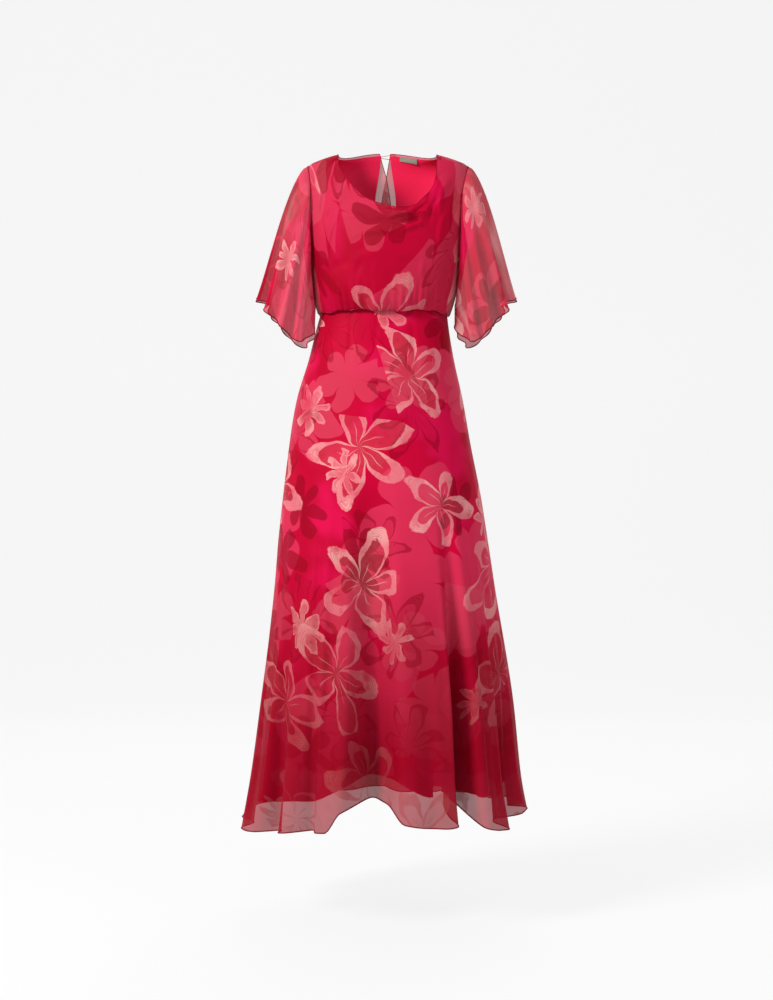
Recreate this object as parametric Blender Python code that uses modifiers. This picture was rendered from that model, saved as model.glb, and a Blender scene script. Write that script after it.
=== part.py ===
"""Chiffon maxi dress, worn form, hollow: bloused bodice over a plain lining, flutter sleeves, A-line skirt.

Metres, +Z up. The front faces -Y, so the wearer's left is at +X. Height 0 is level with the shoulder ends,
where the wearer holds the dress up. Every piece of cloth is an open surface with a Solidify modifier.
"""
import math
from bisect import bisect_right
from collections import namedtuple

import bmesh
import bpy
from mathutils import Vector

COLLECTION = "maxi_dress"

# Cloth and seams
WALL = 0.0010
SEAM_GAP = 0.0005
ROUNDNESS = 2.2  # exponent of the cross-sections: 2 is an ellipse, more is boxier

# Levels
NECK_HEIGHT = 0.040  # height at run 0
WAIST_HEIGHT = -0.3185
HEM_HEIGHT = -1.380  # where the folds are at their full depth
LINING_HEM_RISE = 0.058

# A cross-section of the bodice: run is the way down the cloth, right and left are half widths on the
# wearer's sides, front and back are depths from the side seams, ease and front_ease are how far inside the
# lining hangs
Ring = namedtuple("Ring", "run height right left front back ease front_ease")
BODICE = (
    Ring(0.000, 0.0400, 0.0860, 0.0980, 0.058, 0.074, 0.0030, 0.0030),
    Ring(0.020, 0.0200, 0.0990, 0.1120, 0.066, 0.080, 0.0030, 0.0030),
    Ring(0.028, 0.0120, 0.1270, 0.1410, 0.067, 0.083, 0.0030, 0.0030),
    Ring(0.036, 0.0040, 0.1490, 0.1640, 0.069, 0.085, 0.0032, 0.0032),
    Ring(0.043, -0.0030, 0.1630, 0.1780, 0.072, 0.087, 0.0034, 0.0034),
    Ring(0.060, -0.0200, 0.1690, 0.1820, 0.077, 0.091, 0.0039, 0.0039),
    Ring(0.100, -0.0600, 0.1710, 0.1800, 0.098, 0.102, 0.0045, 0.0045),
    Ring(0.150, -0.1100, 0.1700, 0.1760, 0.117, 0.107, 0.0058, 0.0058),
    Ring(0.200, -0.1600, 0.1680, 0.1720, 0.127, 0.108, 0.0085, 0.0085),
    Ring(0.260, -0.2200, 0.1620, 0.1640, 0.130, 0.109, 0.0120, 0.0140),
    Ring(0.310, -0.2700, 0.1550, 0.1560, 0.130, 0.111, 0.0140, 0.0190),
    Ring(0.340, -0.3000, 0.1500, 0.1490, 0.126, 0.110, 0.0140, 0.0220),
    Ring(0.356, -0.3160, 0.1455, 0.1440, 0.119, 0.107, 0.0125, 0.0220),
    Ring(0.364, -0.3235, 0.1425, 0.1405, 0.111, 0.103, 0.0090, 0.0150),
    Ring(0.370, -0.3225, 0.1390, 0.1370, 0.104, 0.099, 0.0060, 0.0080),
    Ring(0.378, -0.3165, 0.1366, 0.1346, 0.099, 0.096, 0.0020, 0.0020),
)
SHOULDER_RUN = 0.043
UNDERARM_RUN = 0.195
EVEN_RUN = 0.240  # from here down the columns are evenly spread
LINING_END_RUN = 0.3575  # the run where the lining, which doesn't blouse, is level with the waist

# A cross-section of the skirt; ease is the distance that its lining keeps inside it
Hoop = namedtuple("Hoop", "height right left front back ease")
SKIRT = (
    Hoop(-0.3185, 0.1362, 0.1342, 0.0986, 0.0956, 0.0015),
    Hoop(-0.345, 0.1440, 0.1370, 0.106, 0.104, 0.0022),
    Hoop(-0.419, 0.1625, 0.1490, 0.121, 0.124, 0.0040),
    Hoop(-0.505, 0.1885, 0.1680, 0.133, 0.141, 0.0050),
    Hoop(-0.591, 0.2030, 0.1830, 0.143, 0.153, 0.0060),
    Hoop(-0.720, 0.2170, 0.2065, 0.158, 0.166, 0.0070),
    Hoop(-0.935, 0.2350, 0.2350, 0.181, 0.186, 0.0080),
    Hoop(-1.150, 0.2570, 0.2610, 0.203, 0.205, 0.0090),
    Hoop(-1.300, 0.2730, 0.2710, 0.218, 0.217, 0.0100),
    Hoop(-1.411, 0.2890, 0.2880, 0.226, 0.222, 0.0110),
)

# A fold that runs down the skirt: bearing from centre front (+ to the wearer's left) and half angle, how
# deep it cuts in at the hem, and where it starts
Fold = namedtuple("Fold", "bearing half_angle depth start")
SKIRT_FOLDS = (
    Fold(-86.0, 12.0, 0.030, -0.80),
    Fold(-50.0, 9.0, 0.034, -1.05),
    Fold(-31.0, 8.0, 0.030, -1.10),
    Fold(-5.0, 12.0, 0.105, -0.62),
    Fold(34.0, 7.5, 0.100, -0.70),
    Fold(64.0, 9.0, 0.060, -0.75),
    Fold(92.0, 10.0, 0.040, -0.72),
    Fold(118.0, 11.0, 0.070, -0.66),
    Fold(147.0, 10.0, 0.082, -0.78),
    Fold(176.0, 13.0, 0.095, -0.60),
    Fold(-153.0, 9.0, 0.058, -0.84),
    Fold(-126.0, 12.0, 0.088, -0.68),
)
# The hem's height round the skirt: it hangs lower between the folds and lowest at the wearer's right
Hem = namedtuple("Hem", "bearing height")
SKIRT_HEM = (
    Hem(-180.0, -1.362),
    Hem(-166.0, -1.384),
    Hem(-153.0, -1.376),
    Hem(-140.0, -1.392),
    Hem(-126.0, -1.378),
    Hem(-108.0, -1.404),
    Hem(-90.0, -1.408),
    Hem(-70.0, -1.411),
    Hem(-55.0, -1.405),
    Hem(-35.0, -1.396),
    Hem(-21.0, -1.392),
    Hem(-15.5, -1.352),
    Hem(-5.0, -1.334),
    Hem(1.0, -1.340),
    Hem(6.5, -1.374),
    Hem(24.0, -1.384),
    Hem(30.0, -1.376),
    Hem(35.0, -1.336),
    Hem(41.0, -1.390),
    Hem(54.0, -1.400),
    Hem(66.0, -1.388),
    Hem(78.0, -1.372),
    Hem(100.0, -1.380),
    Hem(118.0, -1.368),
    Hem(132.0, -1.390),
    Hem(147.0, -1.370),
    Hem(162.0, -1.386),
    Hem(180.0, -1.362),
)
FLUTE_REACH = 0.022  # how far the hem stands out between the folds
FLUTE_START = -0.60
FOLD_RAMP = 1.35
LINING_SPREAD = (-9.0, -6.0, -3.0, 0.0, 3.0, 6.0, 9.0)  # bearings that the lining bridges over a fold

# Front neckline, from the wearer's right neck point to the left one
Spot = namedtuple("Spot", "x height")
NECKLINE = (
    Spot(-0.0990, 0.0200),
    Spot(-0.0965, -0.0130),
    Spot(-0.0800, -0.0430),
    Spot(-0.0600, -0.0690),
    Spot(-0.0400, -0.0880),
    Spot(0.0000, -0.1040),
    Spot(0.0300, -0.1100),
    Spot(0.0600, -0.1060),
    Spot(0.0830, -0.0850),
    Spot(0.1000, -0.0640),
    Spot(0.1080, -0.0400),
    Spot(0.1120, 0.0200),
)
BACK_NECK_RISE = 0.0185  # centre back above the neck points
LINING_NECK_MARGIN = 0.002  # the lining's neck edge is cut this much lower
LINING_DROP = 0.0022  # the lining hangs this much lower at the shoulders

# Armholes: how far a panel is cut in from the wearer's right and left sides
Cut = namedtuple("Cut", "run right left")
ARMHOLE = (
    Cut(0.043, 0.0, 0.0),
    Cut(0.062, 0.009, 0.009),
    Cut(0.110, 0.015, 0.015),
    Cut(0.165, 0.010, 0.010),
    Cut(0.195, 0.0, 0.0),
)
LINING_ARMHOLE = (
    Cut(0.028, 0.034, 0.026),
    Cut(0.090, 0.044, 0.027),
    Cut(0.120, 0.041, 0.028),
    Cut(0.150, 0.036, 0.027),
    Cut(0.168, 0.028, 0.021),
    Cut(0.182, 0.0, 0.0),
)

# Soft drapes of the bodice front: centre, half sizes and how far each stands out
Drape = namedtuple("Drape", "x height half_width half_height reach")
COWL = (
    Drape(0.035, -0.118, 0.050, 0.016, 0.0080),
    Drape(0.020, -0.152, 0.062, 0.015, 0.0045),
    Drape(-0.010, -0.186, 0.070, 0.016, 0.0030),
)

# Gathers of the bodice into the waist, on each half of the body
GATHERS = 11
GATHER_REACH = 0.0024
GATHER_START_RUN = 0.285
GATHER_PEAK_RUN = 0.352

# Centre back slit of the chiffon: the edge of each back panel, and how far the laps part in depth
Slit = namedtuple("Slit", "height left right lap")
SLIT = (
    Slit(0.040, 0.0133, -0.0112, 0.0),
    Slit(0.015, 0.0087, -0.0040, 0.0004),
    Slit(-0.012, 0.0037, 0.0037, 0.0010),
    Slit(-0.080, -0.0075, 0.0138, 0.0010),
    Slit(-0.105, -0.0040, 0.0090, 0.0010),
    Slit(-0.125, 0.0003, -0.0003, 0.0010),
    Slit(-0.165, 0.0003, -0.0003, 0.0),
    Slit(-0.330, 0.0003, -0.0003, 0.0),
)
SLIT_LAP_WIDTH = 0.034
LINING_SLIT = (
    Slit(0.040, 0.0110, -0.0070, 0.0),
    Slit(0.017, 0.0140, -0.0090, 0.0),
    Slit(-0.075, 0.0253, -0.0213, 0.0),
    Slit(-0.105, 0.0230, -0.0200, 0.0),
    Slit(-0.125, 0.0130, -0.0110, 0.0),
    Slit(-0.135, 0.0003, -0.0003, 0.0),
    Slit(-0.330, 0.0003, -0.0003, 0.0),
)

# Flutter sleeves: the loop of the hem round the arm, and the bulge under the shoulder
SLEEVE_HEM_CENTRE = 0.206
SLEEVE_HEM_HALF_WIDTH = 0.061
SLEEVE_HEM_HALF_DEPTH = 0.078
SLEEVE_LEFT_SHIFT = 0.008  # the wearer's left sleeve lies this much further out
SLEEVE_BULGE = 0.045
SLEEVE_SEAM_GAP = 0.0011
BODY_CLEARANCE = 0.045  # a sleeve keeps this share of the body's half width off it
SleeveHem = namedtuple("SleeveHem", "turn height")
SLEEVE_HEM = (
    SleeveHem(0.0, -0.286),
    SleeveHem(30.0, -0.298),
    SleeveHem(60.0, -0.334),
    SleeveHem(90.0, -0.366),
    SleeveHem(115.0, -0.386),
    SleeveHem(140.0, -0.372),
    SleeveHem(160.0, -0.342),
    SleeveHem(180.0, -0.326),
)
# A fold of a sleeve: turn round the arm from its top, + to the front, and how deep it cuts in at the hem
SleeveFold = namedtuple("SleeveFold", "turn half_turn depth")
SLEEVE_FOLDS = (
    SleeveFold(34.0, 15.0, 0.021),
    SleeveFold(66.0, 14.0, 0.017),
    SleeveFold(97.0, 14.0, 0.021),
    SleeveFold(130.0, 15.0, 0.014),
    SleeveFold(-30.0, 16.0, 0.020),
    SleeveFold(-64.0, 14.0, 0.018),
    SleeveFold(-99.0, 14.0, 0.021),
    SleeveFold(-133.0, 14.0, 0.014),
)
SLEEVE_FLUTE_REACH = 0.008

# Button, loop and label at the back neck
BUTTON_RADIUS = 0.0040
BUTTON_THICKNESS = 0.0024
BUTTON_INSET = 0.0075  # centre of the button from the edge of its panel
BUTTON_DROP = 0.0065  # centre of the button below the neck edge
BUTTON_GAP = 0.0004
LOOP_WIRE_RADIUS = 0.0006
LOOP_CLEARANCE = 0.0008
LOOP_STEPS = 12
LOOP_ROOT_HALF_GAP = 0.0016
LABEL_START = 0.034
LABEL_WIDTH = 0.038
LABEL_DROP = 0.0006  # its top edge lies this much below the lining's neck edge
LABEL_GAP = 0.0007
LABEL_STEPS = 8
LABEL_DEPTH = 0.009

# Mesh density: columns round a piece, rows down it
SKIRT_COLUMNS = 42
SKIRT_ROWS = 12
SKIRT_LINING_COLUMNS = 24
SKIRT_LINING_ROWS = 7
ROW_CROWDING = 0.85  # below 1 the skirt's rows crowd towards the hem
FRONT_COLUMNS = 48
BACK_COLUMNS = 22
SIDE_STOPS = (
    (SHOULDER_RUN, 3),
    (UNDERARM_RUN, 5),
    (EVEN_RUN, 1),
    (0.290, 1),
    (0.326, 1),
    (0.347, 1),
    (0.358, 1),
    (0.365, 1),
    (0.371, 1),
    (0.378, 1),
)
LINING_FRONT_COLUMNS = 24
LINING_BACK_COLUMNS = 12
LINING_SIDE_STOPS = ((0.0275, 1), (LINING_ARMHOLE[-1].run, 4), (EVEN_RUN, 1), (0.300, 1), (LINING_END_RUN, 1))
SLEEVE_COLUMNS = 36
SLEEVE_ROWS = 8


def smooth(value):
    """0 to 1 with level ends."""
    value = min(1.0, max(0.0, value))
    return value * value * (3.0 - 2.0 * value)


def hump(offset, half_width):
    """1 at the middle, falling to 0 at half_width on either side."""
    if abs(offset) >= half_width:
        return 0.0
    return math.cos(0.5 * math.pi * offset / half_width) ** 2


def angle_between(first, second):
    """The turn from second to first, -180 to 180 degrees."""
    return (first - second + 180.0) % 360.0 - 180.0


def read_table(rows, place):
    """The row at a place between a table's rows, on a smooth curve through each column that never overshoots."""
    if rows[0][0] > rows[-1][0]:
        rows = rows[::-1]
    places = [row[0] for row in rows]
    place = min(max(place, places[0]), places[-1])
    index = min(max(bisect_right(places, place) - 1, 0), len(rows) - 2)
    span = places[index + 1] - places[index]
    share = (place - places[index]) / span

    def secant(column, row):
        return (rows[row + 1][column] - rows[row][column]) / (places[row + 1] - places[row])

    def slope(column, row):
        if row == 0 or row == len(rows) - 1:
            return secant(column, min(row, len(rows) - 2))
        before = secant(column, row - 1)
        after = secant(column, row)
        return 0.0 if before * after <= 0.0 else 2.0 * before * after / (before + after)

    values = []
    for column in range(len(rows[0])):
        start = rows[index][column]
        end = rows[index + 1][column]
        rise = (share ** 3 - 2.0 * share ** 2 + share) * span * slope(column, index)
        fall = (share ** 3 - share ** 2) * span * slope(column, index + 1)
        values.append(start + (end - start) * smooth(share) + rise + fall)
    return type(rows[0])(*values)


def even_places(path, count):
    """Places from 0 to 1 that part a fine path of points into count equal lengths."""
    travelled = [0.0]
    for here, after in zip(path, path[1:]):
        travelled.append(travelled[-1] + math.dist(here, after))
    places = []
    for step in range(count + 1):
        wanted = travelled[-1] * step / count
        index = min(max(bisect_right(travelled, wanted) - 1, 0), len(path) - 2)
        span = travelled[index + 1] - travelled[index]
        places.append((index + (wanted - travelled[index]) / span) / (len(path) - 1))
    return places


def paint(name, colour, roughness):
    """A plain material."""
    material = bpy.data.materials.new(name)
    material.use_nodes = True
    shader = material.node_tree.nodes["Principled BSDF"]
    shader.inputs["Base Color"].default_value = (*colour, 1.0)
    shader.inputs["Roughness"].default_value = roughness
    shader.inputs["Metallic"].default_value = 0.0
    material.diffuse_color = (*colour, 1.0)
    return material


def cloth(name, grid, material, closed=False):
    """A sheet through rows of points, which are its outer face, thickened inwards."""
    shape = bmesh.new()
    lines = [[shape.verts.new(point) for point in line] for line in grid]
    for upper, lower in zip(lines, lines[1:]):
        count = len(upper)
        for index in range(count if closed else count - 1):
            after = (index + 1) % count
            shape.faces.new((upper[index], lower[index], lower[after], upper[after]))
    mesh = bpy.data.meshes.new(name)
    shape.to_mesh(mesh)
    shape.free()
    mesh.shade_smooth()
    mesh.materials.append(material)
    thing = bpy.data.objects.new(name, mesh)
    wall = thing.modifiers.new("wall", "SOLIDIFY")
    wall.thickness = WALL
    wall.offset = -1.0
    bpy.data.collections[COLLECTION].objects.link(thing)
    return thing


# ---- Skirt ----

def fold_growth(height, start):
    """How far a fold has opened at a height: 0 where it starts, 1 at the hem."""
    if height >= start:
        return 0.0
    return ((start - height) / (start - HEM_HEIGHT)) ** FOLD_RAMP


def skirt_offset(bearing, height):
    """How far the skirt stands out from its plain cross-section."""
    offset = FLUTE_REACH * fold_growth(height, FLUTE_START)
    for fold in SKIRT_FOLDS:
        cut = hump(angle_between(bearing, fold.bearing), fold.half_angle)
        offset -= fold.depth * fold_growth(height, fold.start) * cut
    return offset


def skirt_point(bearing, height, offset):
    """A point of the skirt's cross-section, moved out by an offset."""
    hoop = read_table(SKIRT, height)
    across = math.sin(math.radians(bearing))
    along = math.cos(math.radians(bearing))
    half_width = hoop.left if across >= 0.0 else hoop.right
    half_depth = hoop.front if along >= 0.0 else hoop.back
    x = math.copysign(abs(across) ** (2.0 / ROUNDNESS), across) * half_width
    y = -math.copysign(abs(along) ** (2.0 / ROUNDNESS), along) * half_depth
    return x + across * offset, y - along * offset, height


def outer_skirt_point(bearing, height):
    return skirt_point(bearing, height, skirt_offset(bearing, height))


def lining_skirt_point(bearing, height):
    """The lining lies inside the chiffon and bridges its folds."""
    offset = min(skirt_offset(bearing + spread, height) for spread in LINING_SPREAD)
    return skirt_point(bearing, height, offset - read_table(SKIRT, height).ease)


def hem_height(bearing):
    return read_table(SKIRT_HEM, angle_between(bearing, 0.0)).height


def skirt_panel(name, first_bearing, point_at, columns, rows, hem_rise, material):
    """Half of a skirt, from one side seam to the other."""
    front = first_bearing < 0.0
    seam = -SEAM_GAP / 2.0 if front else SEAM_GAP / 2.0

    fine = [first_bearing + 0.5 * step for step in range(361)]
    places = even_places([point_at(bearing, HEM_HEIGHT) for bearing in fine], columns)
    grid = []
    for row in range(rows + 1):
        share = (row / rows) ** ROW_CROWDING
        line = []
        for place in places:
            bearing = first_bearing + 180.0 * place
            height = WAIST_HEIGHT + (hem_height(bearing) + hem_rise - WAIST_HEIGHT) * share
            x, y, z = point_at(bearing, height)
            line.append((x, y + seam, z))
        grid.append(line)
    return cloth(name, grid, material)


# ---- Bodice ----

# A bodice panel: side of the body, first and last bearing from its centre line, whether it is lining, the
# tables of its armhole and slit, how far its neck edge is cut back, and which lap of the slit it is
Panel = namedtuple("Panel", "side first last lining armhole slit margin lap")


def half_width(ring, x, lining):
    """Half width of a cross-section on the side where x is."""
    return (ring.left if x >= 0.0 else ring.right) - (ring.ease if lining else 0.0)


def trunk_depth(ring, x, side, lining):
    """How far the bodice stands out from the side seams at x."""
    depth = ring.front if side == "front" else ring.back
    if lining:
        depth -= ring.front_ease if side == "front" else ring.ease
    share = min(1.0, abs(x) / half_width(ring, x, lining))
    return depth * (1.0 - share ** ROUNDNESS) ** (1.0 / ROUNDNESS)


def side_edge(panel, run, sign):
    """Where a panel ends at the side: its shoulder seam, then its armhole, then its side seam."""
    ridge = half_width(read_table(BODICE, run), sign, panel.lining)
    side = half_width(read_table(BODICE, max(run, SHOULDER_RUN)), sign, panel.lining)
    cut = read_table(panel.armhole, run)
    return sign * min(ridge, side - (cut.left if sign > 0.0 else cut.right))


def centre_edge(panel, run):
    """Where a back panel ends at the slit; the front goes on, so there this is its centre line."""
    if panel.slit is None:
        return 0.0
    slit = read_table(panel.slit, NECK_HEIGHT - run)
    return slit.left if panel.lap == "left" else slit.right


def panel_edge(panel, bearing, run):
    """Where a panel ends at its first or last bearing."""
    if bearing == 0.0:
        return centre_edge(panel, run)
    return side_edge(panel, run, math.copysign(1.0, bearing))


def neck_run(panel, x):
    """The run of a panel's neck edge at x."""
    neck = NECKLINE[-1].x if x >= 0.0 else -NECKLINE[0].x
    lowest = BODICE[1].run + panel.margin
    wide = abs(side_edge(panel, lowest, math.copysign(1.0, x)))
    spot = x * neck / wide
    if panel.side == "front":
        return NECK_HEIGHT - read_table(NECKLINE, spot).height + panel.margin
    return lowest - BACK_NECK_RISE * max(0.0, 1.0 - (spot / neck) ** 2) ** 1.5


def cowl_reach(x, height):
    """How far the soft drapes under the neckline stand out."""
    total = 0.0
    for drape in COWL:
        middle = drape.height + 0.5 * drape.half_height * ((x - drape.x) / drape.half_width) ** 2
        total += drape.reach * hump(x - drape.x, drape.half_width) * hump(height - middle, drape.half_height)
    return total


def gather_reach(share, run):
    """Soft gathers into the waist, uneven in reach; share goes from one side seam to the other."""
    rise = smooth((run - GATHER_START_RUN) / (GATHER_PEAK_RUN - GATHER_START_RUN))
    fade = 1.0 - smooth((run - GATHER_PEAK_RUN) / (BODICE[-1].run - GATHER_PEAK_RUN))
    wave = math.sin(2.0 * math.pi * GATHERS * share + 0.8 * math.sin(7.0 * share))
    uneven = 0.75 + 0.25 * math.sin(6.0 * math.pi * share + 1.0)
    ends = smooth(8.0 * share) * smooth(8.0 * (1.0 - share))
    return GATHER_REACH * rise * fade * wave * uneven * ends


def trunk_point(panel, x, run, girth=0.0):
    """A point of a panel at x and run; girth goes from side seam to side seam, for the gathers."""
    ring = read_table(BODICE, run)
    depth = trunk_depth(ring, x, panel.side, panel.lining)
    height = ring.height
    if panel.lining:
        height -= LINING_DROP * (1.0 - smooth(run / UNDERARM_RUN))
    else:
        depth += gather_reach(girth, run)
    if panel.side == "front":
        if not panel.lining:
            depth += cowl_reach(x, height)
        return x, -depth - SEAM_GAP / 2.0, height
    slit = read_table(panel.slit, NECK_HEIGHT - run)
    lap = slit.lap * hump(x, SLIT_LAP_WIDTH)
    depth += lap if panel.lap == "left" else -lap
    return x, depth + SEAM_GAP / 2.0, height


def even_x(panel, column, run):
    """The x of a column where the columns are evenly spread round the body."""
    bearing = panel.first + (panel.last - panel.first) * column
    share = abs(math.sin(math.radians(bearing))) ** (2.0 / ROUNDNESS)
    sign = math.copysign(1.0, bearing if bearing != 0.0 else panel.first + panel.last)
    middle = centre_edge(panel, run)
    return middle + (side_edge(panel, run, sign) - middle) * share


def side_rows(panel, start_run, side_stops):
    """Runs of the rows at the side, evenly spread between the stops: (run, rows up to there)."""
    runs = [start_run]
    sign = math.copysign(1.0, panel.first + 0.5 * panel.last)
    steps = 120
    for stop_run, count in side_stops:
        span = stop_run - runs[-1]
        fine = [runs[-1] + span * step / steps for step in range(steps + 1)]
        path = [trunk_point(panel, side_edge(panel, run, sign), run) for run in fine]
        first_run = runs[-1]
        runs += [first_run + span * place for place in even_places(path, count)[1:]]
    return runs


def bodice_panel(name, panel, columns, side_stops, material):
    """A panel whose columns start evenly along the neck edge and end evenly spread at the waist.

    Its rows start along the shoulder seam and armhole, where the columns turn down.
    """
    start_run = BODICE[1].run + panel.margin
    neck_start = panel_edge(panel, panel.first, start_run)
    neck_end = panel_edge(panel, panel.last, start_run)
    steps = 240
    neck_xs = [neck_start + (neck_end - neck_start) * step / steps for step in range(steps + 1)]
    neck_places = even_places([trunk_point(panel, x, neck_run(panel, x)) for x in neck_xs], columns)
    grid = []
    for side_run in side_rows(panel, start_run, side_stops):
        blend = max(0.0, (EVEN_RUN - side_run) / (EVEN_RUN - start_run))
        line = []
        for number, place in enumerate(neck_places):
            column = number / columns
            neck_x = neck_start + (neck_end - neck_start) * place
            run = side_run + blend * (neck_run(panel, neck_x) - start_run)
            first_edge = panel_edge(panel, panel.first, run if panel.first == 0.0 else side_run)
            last_edge = panel_edge(panel, panel.last, run if panel.last == 0.0 else side_run)
            straight = first_edge * (1.0 - column) + last_edge * column
            bow = neck_x - (neck_start * (1.0 - column) + neck_end * column)
            x = straight + blend * bow + (1.0 - blend) * (even_x(panel, column, run) - straight)
            girth = 0.5 + (panel.first + (panel.last - panel.first) * column) / 180.0
            line.append(trunk_point(panel, x, run, girth))
        grid.append(line)
    return cloth(name, grid, material)


# ---- Sleeves ----

def clear_of_body(x, y, height, share):
    """Moves a point of a sleeve out until it is clear of the bodice and skirt."""
    ring = read_table(BODICE, min(NECK_HEIGHT - height, BODICE[11].run))
    depth = ring.front if y < 0.0 else ring.back
    out = (abs(x) / half_width(ring, x, False)) ** ROUNDNESS + (abs(y) / depth) ** ROUNDNESS
    out = out ** (1.0 / ROUNDNESS)
    least = 1.0 + BODY_CLEARANCE * min(1.0, 10.0 * share)
    if out >= least:
        return x, y
    return x * least / out, y * least / out


def sleeve_point(sign, turn, share):
    """A point of a sleeve: turn round the arm from its top, + to the front, share from armhole to hem."""
    side = "front" if turn >= 0.0 else "back"
    across = math.cos(math.radians(turn))
    along = math.sin(math.radians(turn))
    run = SHOULDER_RUN + (UNDERARM_RUN - SHOULDER_RUN) * 0.5 * (1.0 - across)
    ring = read_table(BODICE, run)
    cut = read_table(ARMHOLE, run)
    edge = half_width(ring, sign, False) - (cut.left if sign > 0.0 else cut.right)
    forward = -1.0 if side == "front" else 1.0
    start = (edge + SLEEVE_SEAM_GAP, forward * trunk_depth(ring, sign * edge, side, False), ring.height)
    shift = SLEEVE_LEFT_SHIFT if sign > 0.0 else 0.0
    fold = SLEEVE_FLUTE_REACH
    for row in SLEEVE_FOLDS:
        fold -= row.depth * hump(angle_between(turn, row.turn), row.half_turn)
    end = (
        SLEEVE_HEM_CENTRE + shift + SLEEVE_HEM_HALF_WIDTH * across,
        -SLEEVE_HEM_HALF_DEPTH * along,
        read_table(SLEEVE_HEM, abs(turn)).height,
    )
    bulge = SLEEVE_BULGE * share ** 0.45 * (1.0 - share) ** 1.4 + fold * share ** 1.2
    x = start[0] + (end[0] - start[0]) * share + bulge * across
    y = start[1] + (end[1] - start[1]) * share - bulge * along
    z = start[2] + (end[2] - start[2]) * share
    x, y = clear_of_body(sign * x, y, z, share)
    return x, y, z


def sleeve(name, sign, material):
    """A sleeve, all round the arm, from its armhole seam to its hem."""
    fine = [sleeve_point(sign, -180.0 + step, 1.0) for step in range(361)]
    places = even_places(fine, SLEEVE_COLUMNS)[:-1]
    grid = []
    for row in range(SLEEVE_ROWS + 1):
        share = (row / SLEEVE_ROWS) ** 1.1
        line = [sleeve_point(sign, -180.0 + 360.0 * place, share) for place in places]
        grid.append(line if sign < 0.0 else line[::-1])
    return cloth(name, grid, material, closed=True)


# ---- Closing and label ----

def moved_out(panel, x, run, out):
    """A point of a back panel moved out square to it, and the way out."""
    step = 0.0005
    sideways = Vector(trunk_point(panel, x - step, run)) - Vector(trunk_point(panel, x + step, run))
    upwards = Vector(trunk_point(panel, x, run - step)) - Vector(trunk_point(panel, x, run + step))
    way_out = sideways.cross(upwards).normalized()
    return Vector(trunk_point(panel, x, run)) + way_out * out, way_out


def neck_label(material):
    """A blank strip inside the back neck, made from the lining's points and moved in."""
    panel = LINING_BACK_LEFT
    grid = []
    for drop in (LABEL_DROP, LABEL_DROP + LABEL_DEPTH / 2.0, LABEL_DROP + LABEL_DEPTH):
        line = []
        for step in range(LABEL_STEPS + 1):
            x = LABEL_START + LABEL_WIDTH * (1.0 - step / LABEL_STEPS)
            line.append(moved_out(panel, x, neck_run(panel, x) + drop, -WALL - LABEL_GAP)[0])
        grid.append(line)
    return cloth("neck_label", grid, material)


def button_seat():
    """Centre of the button's flat side and the way out from the chiffon there."""
    x = read_table(SLIT, NECK_HEIGHT).left + BUTTON_INSET
    return moved_out(BACK_LEFT, x, neck_run(BACK_LEFT, x) + BUTTON_DROP, BUTTON_GAP)


def neck_button(material):
    """A small domed button, flat side against the chiffon."""
    shape = bmesh.new()
    bmesh.ops.create_cone(
        shape,
        cap_ends=True,
        segments=20,
        radius1=BUTTON_RADIUS,
        radius2=0.6 * BUTTON_RADIUS,
        depth=BUTTON_THICKNESS,
    )
    mesh = bpy.data.meshes.new("neck_button")
    shape.to_mesh(mesh)
    shape.free()
    mesh.shade_smooth()
    mesh.set_sharp_from_angle(angle=math.radians(35.0))
    mesh.materials.append(material)
    button = bpy.data.objects.new("neck_button", mesh)
    seat, out = button_seat()
    button.rotation_euler = out.to_track_quat("Z", "X").to_euler()
    button.location = seat + out * BUTTON_THICKNESS / 2.0
    bpy.data.collections[COLLECTION].objects.link(button)
    return button


def button_loop(material):
    """A thread loop from the edge of the right back panel round the button."""
    seat, _out = button_seat()
    around = BUTTON_RADIUS + LOOP_CLEARANCE + LOOP_WIRE_RADIUS
    lift = BUTTON_GAP + LOOP_WIRE_RADIUS + LOOP_CLEARANCE
    points = []
    for step in range(LOOP_STEPS + 1):
        turn = math.radians(100.0 - 200.0 * step / LOOP_STEPS)
        x = seat.x + around * math.cos(turn)
        run = NECK_HEIGHT - seat.z - around * math.sin(turn)
        points.append(moved_out(BACK_LEFT, x, run, lift)[0])
    for side in (-1.0, 1.0):
        height = seat.z + side * LOOP_ROOT_HALF_GAP
        edge = read_table(SLIT, height).right
        x = edge + LOOP_WIRE_RADIUS + LOOP_CLEARANCE
        points.append(moved_out(BACK_LEFT, x, NECK_HEIGHT - height, -0.5 * WALL)[0])
    curve = bpy.data.curves.new("button_loop", "CURVE")
    curve.dimensions = "3D"
    curve.bevel_depth = LOOP_WIRE_RADIUS
    curve.bevel_resolution = 1
    spline = curve.splines.new("POLY")
    spline.points.add(len(points) - 1)
    spline.use_cyclic_u = True
    for spot, place in zip(spline.points, points):
        spot.co = (*place, 1.0)
    curve.materials.append(material)
    loop = bpy.data.objects.new("button_loop", curve)
    bpy.data.collections[COLLECTION].objects.link(loop)
    return loop


FRONT = Panel("front", -90.0, 90.0, False, ARMHOLE, None, 0.0, None)
BACK_LEFT = Panel("back", 90.0, 0.0, False, ARMHOLE, SLIT, 0.0, "left")
BACK_RIGHT = Panel("back", 0.0, -90.0, False, ARMHOLE, SLIT, 0.0, "right")
LINING_FRONT = Panel("front", -90.0, 90.0, True, LINING_ARMHOLE, None, LINING_NECK_MARGIN, None)
LINING_BACK_LEFT = Panel("back", 90.0, 0.0, True, LINING_ARMHOLE, LINING_SLIT, LINING_NECK_MARGIN, "left")
LINING_BACK_RIGHT = Panel("back", 0.0, -90.0, True, LINING_ARMHOLE, LINING_SLIT, LINING_NECK_MARGIN, "right")


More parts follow.
